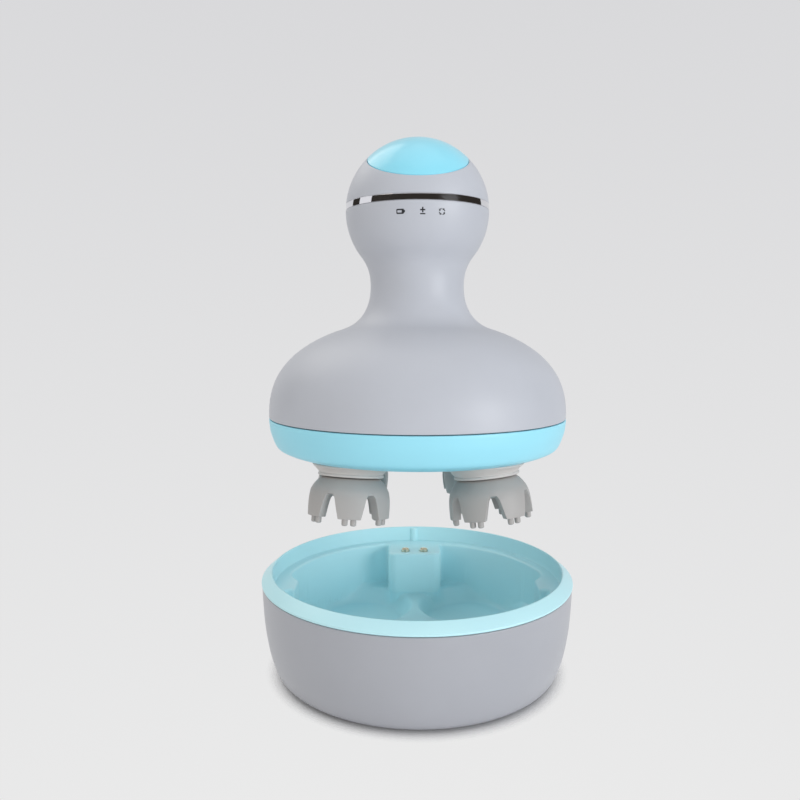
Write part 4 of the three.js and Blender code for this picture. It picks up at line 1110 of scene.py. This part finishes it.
LEAN = math.radians(9)
HUB_TOP = -BAND - 0.3
HUB_DROP = 5.2
FULL_LEAN_DROP = 3.6
PEG_RADIUS = 4.5
PEG_LENGTH = 2.2
HEAD_TURNS = {"front_left": (-24, 29), "front_right": (50, -20), "rear_left": (-100, 10),
              "rear_right": (100, 25)}
HUB_RINGS = [(0, 12.05), (0.12, 12.3), (0.35, 12.4), (0.7, 12.4), (1.1, 12.25), (1.6, 12),
             (2.1, 11.75), (2.7, 11.35), (3.3, 10.85), (3.8, 10.4), (4.15, 10.14), (4.25, 10.12),
             (4.35, 10.24), (4.5, 10.35), (4.9, 10.37), (5.1, 10.28), (5.2, 10.1)]
pale_collar = finish("pale_collar", paint(205, 201, 198), 0.45, grain=0.25, depth=0.004)


def lean_ring(drop, radius, share, steps=72):
    """A ring about the leaning axis, tilted by a share of the lean."""
    turn = Matrix.Rotation(-LEAN * share, 3, 'Y')
    centre = Vector((drop * math.sin(LEAN), 0, -drop * math.cos(LEAN)))
    ring_points = []
    for k in range(steps):
        angle = 2 * math.pi * k / steps
        ring_points.append(centre + turn @ Vector((radius * math.cos(angle),
                                                   radius * math.sin(angle), 0)))
    return ring_points


def head_place(name, in_tip):
    """Where a head stands: its shaft, its direction of lean and, for a claw, its tip."""
    sx, sy = HEAD_SPOTS[name]
    lean_turn, arm_turn = [math.radians(value) for value in HEAD_TURNS[name]]
    place = (Matrix.Translation(Vector((SPOT * sx, SPOT * sy, SEAM)) * MM)
             @ Matrix.Rotation(lean_turn - math.pi / 2, 4, 'Z')
             @ Matrix.Translation((0, 0, HUB_TOP * MM)))
    if in_tip:
        place = (place @ Matrix.Rotation(-LEAN, 4, 'Y')
                 @ Matrix.Translation((0, 0, (-HUB_DROP - 0.3) * MM))
                 @ Matrix.Rotation(arm_turn, 4, 'Z'))
    return place


def placed_copy(pattern, name, place):
    """A copy of a pattern with its own mesh, put in its place."""
    copy = pattern.copy()
    copy.data = pattern.data.copy()
    copy.name = name
    bpy.context.collection.objects.link(copy)
    copy.data.transform(place)
    return copy


hub_loops = []
for drop, radius in HUB_RINGS:
    hub_loops.append(lean_ring(drop, radius, eased(min(drop / FULL_LEAN_DROP, 1))))
hub_pattern = skinned("hub_pattern", hub_loops + [
    lean_ring(HUB_DROP, PEG_RADIUS + 0.1, 1), lean_ring(HUB_DROP + 0.1, PEG_RADIUS, 1),
    lean_ring(HUB_DROP + PEG_LENGTH - 0.1, PEG_RADIUS, 1),
    lean_ring(HUB_DROP + PEG_LENGTH, PEG_RADIUS - 0.1, 1)],
    angle=50)
cut_with(hub_pattern, [rod(2.7, -3.9, 1, steps=40)])
for name in HEAD_SPOTS:
    hub = placed_copy(hub_pattern, "collar_" + name, head_place(name, False))
    fit(hub, "head_" + name, "hub_plastic", pale_collar, "hub_" + name)
bpy.data.objects.remove(hub_pattern)


# Claws
# Soft grey silicone bells, each cut into six arms by arched notches. The arms narrow
# downwards, end flat and carry two short round-ended nubs each.

ARMS = 6
ARM_COLUMNS = 6
ARM_TURN = 60
SHOULDER = -2
SHOULDER_REACH = 20
WIDEST_REACH = 25.8
CLAW_LENGTH = 12.0
NOTCH_TOP = -4.6
ARCH_RADIUS = 1.9
NOTCH_FOOT = 3.3
CLAW_WALL = 2.9
NUB_RADIUS = 0.92
NUB_LENGTH = 2.0
NUB_ROUND = 0.5
NUB_SPREAD = 2.6
NUB_CIRCLE = 12.8 - CLAW_WALL / 2
BELL = [(0, -0.05), (3.2, -0.02), (6.2, 0), (8.3, 0), (9.2, -0.1), (9.75, -0.55),
        (10.5, -1.3), (11.4, -2.4), (12.12, -3.6), (12.48, -4.6), (12.7, -5.5),
        (12.86, -6.6), (13, -8.2), (13.06, -10.2), (13.08, -12)]
soft_silicone = finish("soft_silicone", paint(176, 173, 171), 0.5, grain=0.3, depth=0.006,
                       drift=0.04)


def notch_half(z):
    """Half the width of a notch at a height on the bell."""
    arch_centre = NOTCH_TOP - ARCH_RADIUS
    if z >= arch_centre:
        return math.sqrt(max(ARCH_RADIUS ** 2 - (z - arch_centre) ** 2, 0))
    share = (arch_centre - z) / (arch_centre + CLAW_LENGTH)
    return ARCH_RADIUS + (NOTCH_FOOT - ARCH_RADIUS) * share


def notch_edge(z, r):
    """The angle from the middle of an arm to its side edge, in degrees."""
    return ARM_TURN / 2 - math.degrees(notch_half(z) / r)


def shape_bell():
    """One claw about its own axis, its top at 0."""
    bell = spun("claw_pattern", BELL, ARMS * ARM_COLUMNS)
    bpy.ops.object.mode_set(mode='EDIT')
    bpy.ops.mesh.select_all(action='DESELECT')
    mesh = bmesh.from_edit_mesh(bell.data)
    step = ARM_TURN / ARM_COLUMNS
    for face in mesh.faces:
        middle = face.calc_center_median()
        off = abs(math.degrees(math.atan2(middle.y, middle.x)) % ARM_TURN - ARM_TURN / 2)
        face.select = middle.z < NOTCH_TOP * MM and off < step
    bmesh.update_edit_mesh(bell.data)
    bpy.ops.mesh.delete(type='FACE')
    mesh = bmesh.from_edit_mesh(bell.data)
    for vertex in mesh.verts:
        r = math.hypot(vertex.co.x, vertex.co.y) / MM
        z = vertex.co.z / MM
        if z > SHOULDER or r < 1:
            continue
        angle = math.degrees(math.atan2(vertex.co.y, vertex.co.x))
        arm = round(angle / ARM_TURN) * ARM_TURN
        column = round((angle - arm) / step)
        if abs(column) == ARM_COLUMNS / 2:
            continue
        if z < NOTCH_TOP + 0.01:
            reach = min(notch_edge(z, r), WIDEST_REACH)
        else:
            share = (z - NOTCH_TOP) / (SHOULDER - NOTCH_TOP)
            reach = WIDEST_REACH - (WIDEST_REACH - SHOULDER_REACH) * share
        turned = math.radians(arm + column * reach / 2)
        vertex.co.x = r * math.cos(turned) * MM
        vertex.co.y = r * math.sin(turned) * MM
    bmesh.update_edit_mesh(bell.data)
    bpy.ops.mesh.select_all(action='SELECT')
    bpy.ops.mesh.normals_make_consistent(inside=False)
    bpy.ops.object.mode_set(mode='OBJECT')
    return bell


claw_pattern = shape_bell()
apply_modifier(claw_pattern, 'SOLIDIFY', thickness=CLAW_WALL * MM, offset=-1,
               use_even_offset=True, use_rim=True)
apply_modifier(claw_pattern, 'BEVEL', width=0.42 * MM, segments=2, limit_method='ANGLE',
               angle_limit=math.radians(48))
apply_modifier(claw_pattern, 'SUBSURF', levels=2, render_levels=2)
nubs = []
nub_tip = -CLAW_LENGTH - NUB_LENGTH
for arm in range(ARMS):
    for side in (-1, 1):
        nub = spun("tool", [
            (0, -CLAW_LENGTH + 0.8), (NUB_RADIUS, -CLAW_LENGTH + 0.8),
            (NUB_RADIUS, nub_tip + NUB_ROUND),
            *corner(NUB_RADIUS - NUB_ROUND, nub_tip + NUB_ROUND, NUB_ROUND, -15, -90, 4),
            (0, nub_tip)], 20)
        angle = math.radians(arm * ARM_TURN)
        x, y = NUB_CIRCLE, side * NUB_SPREAD / 2
        moved(nub, x * math.cos(angle) - y * math.sin(angle),
              x * math.sin(angle) + y * math.cos(angle))
        nubs.append(nub)
cut_with(claw_pattern, [rod(PEG_RADIUS + 0.6, -2.5, 1, steps=48)])
cut_with(claw_pattern, nubs, 'UNION')
for name in HEAD_SPOTS:
    claw = placed_copy(claw_pattern, "silicone_claw_" + name, head_place(name, True))
    fit(claw, "head_" + name, "claw_rubber", soft_silicone, "claw_" + name)
bpy.data.objects.remove(claw_pattern)
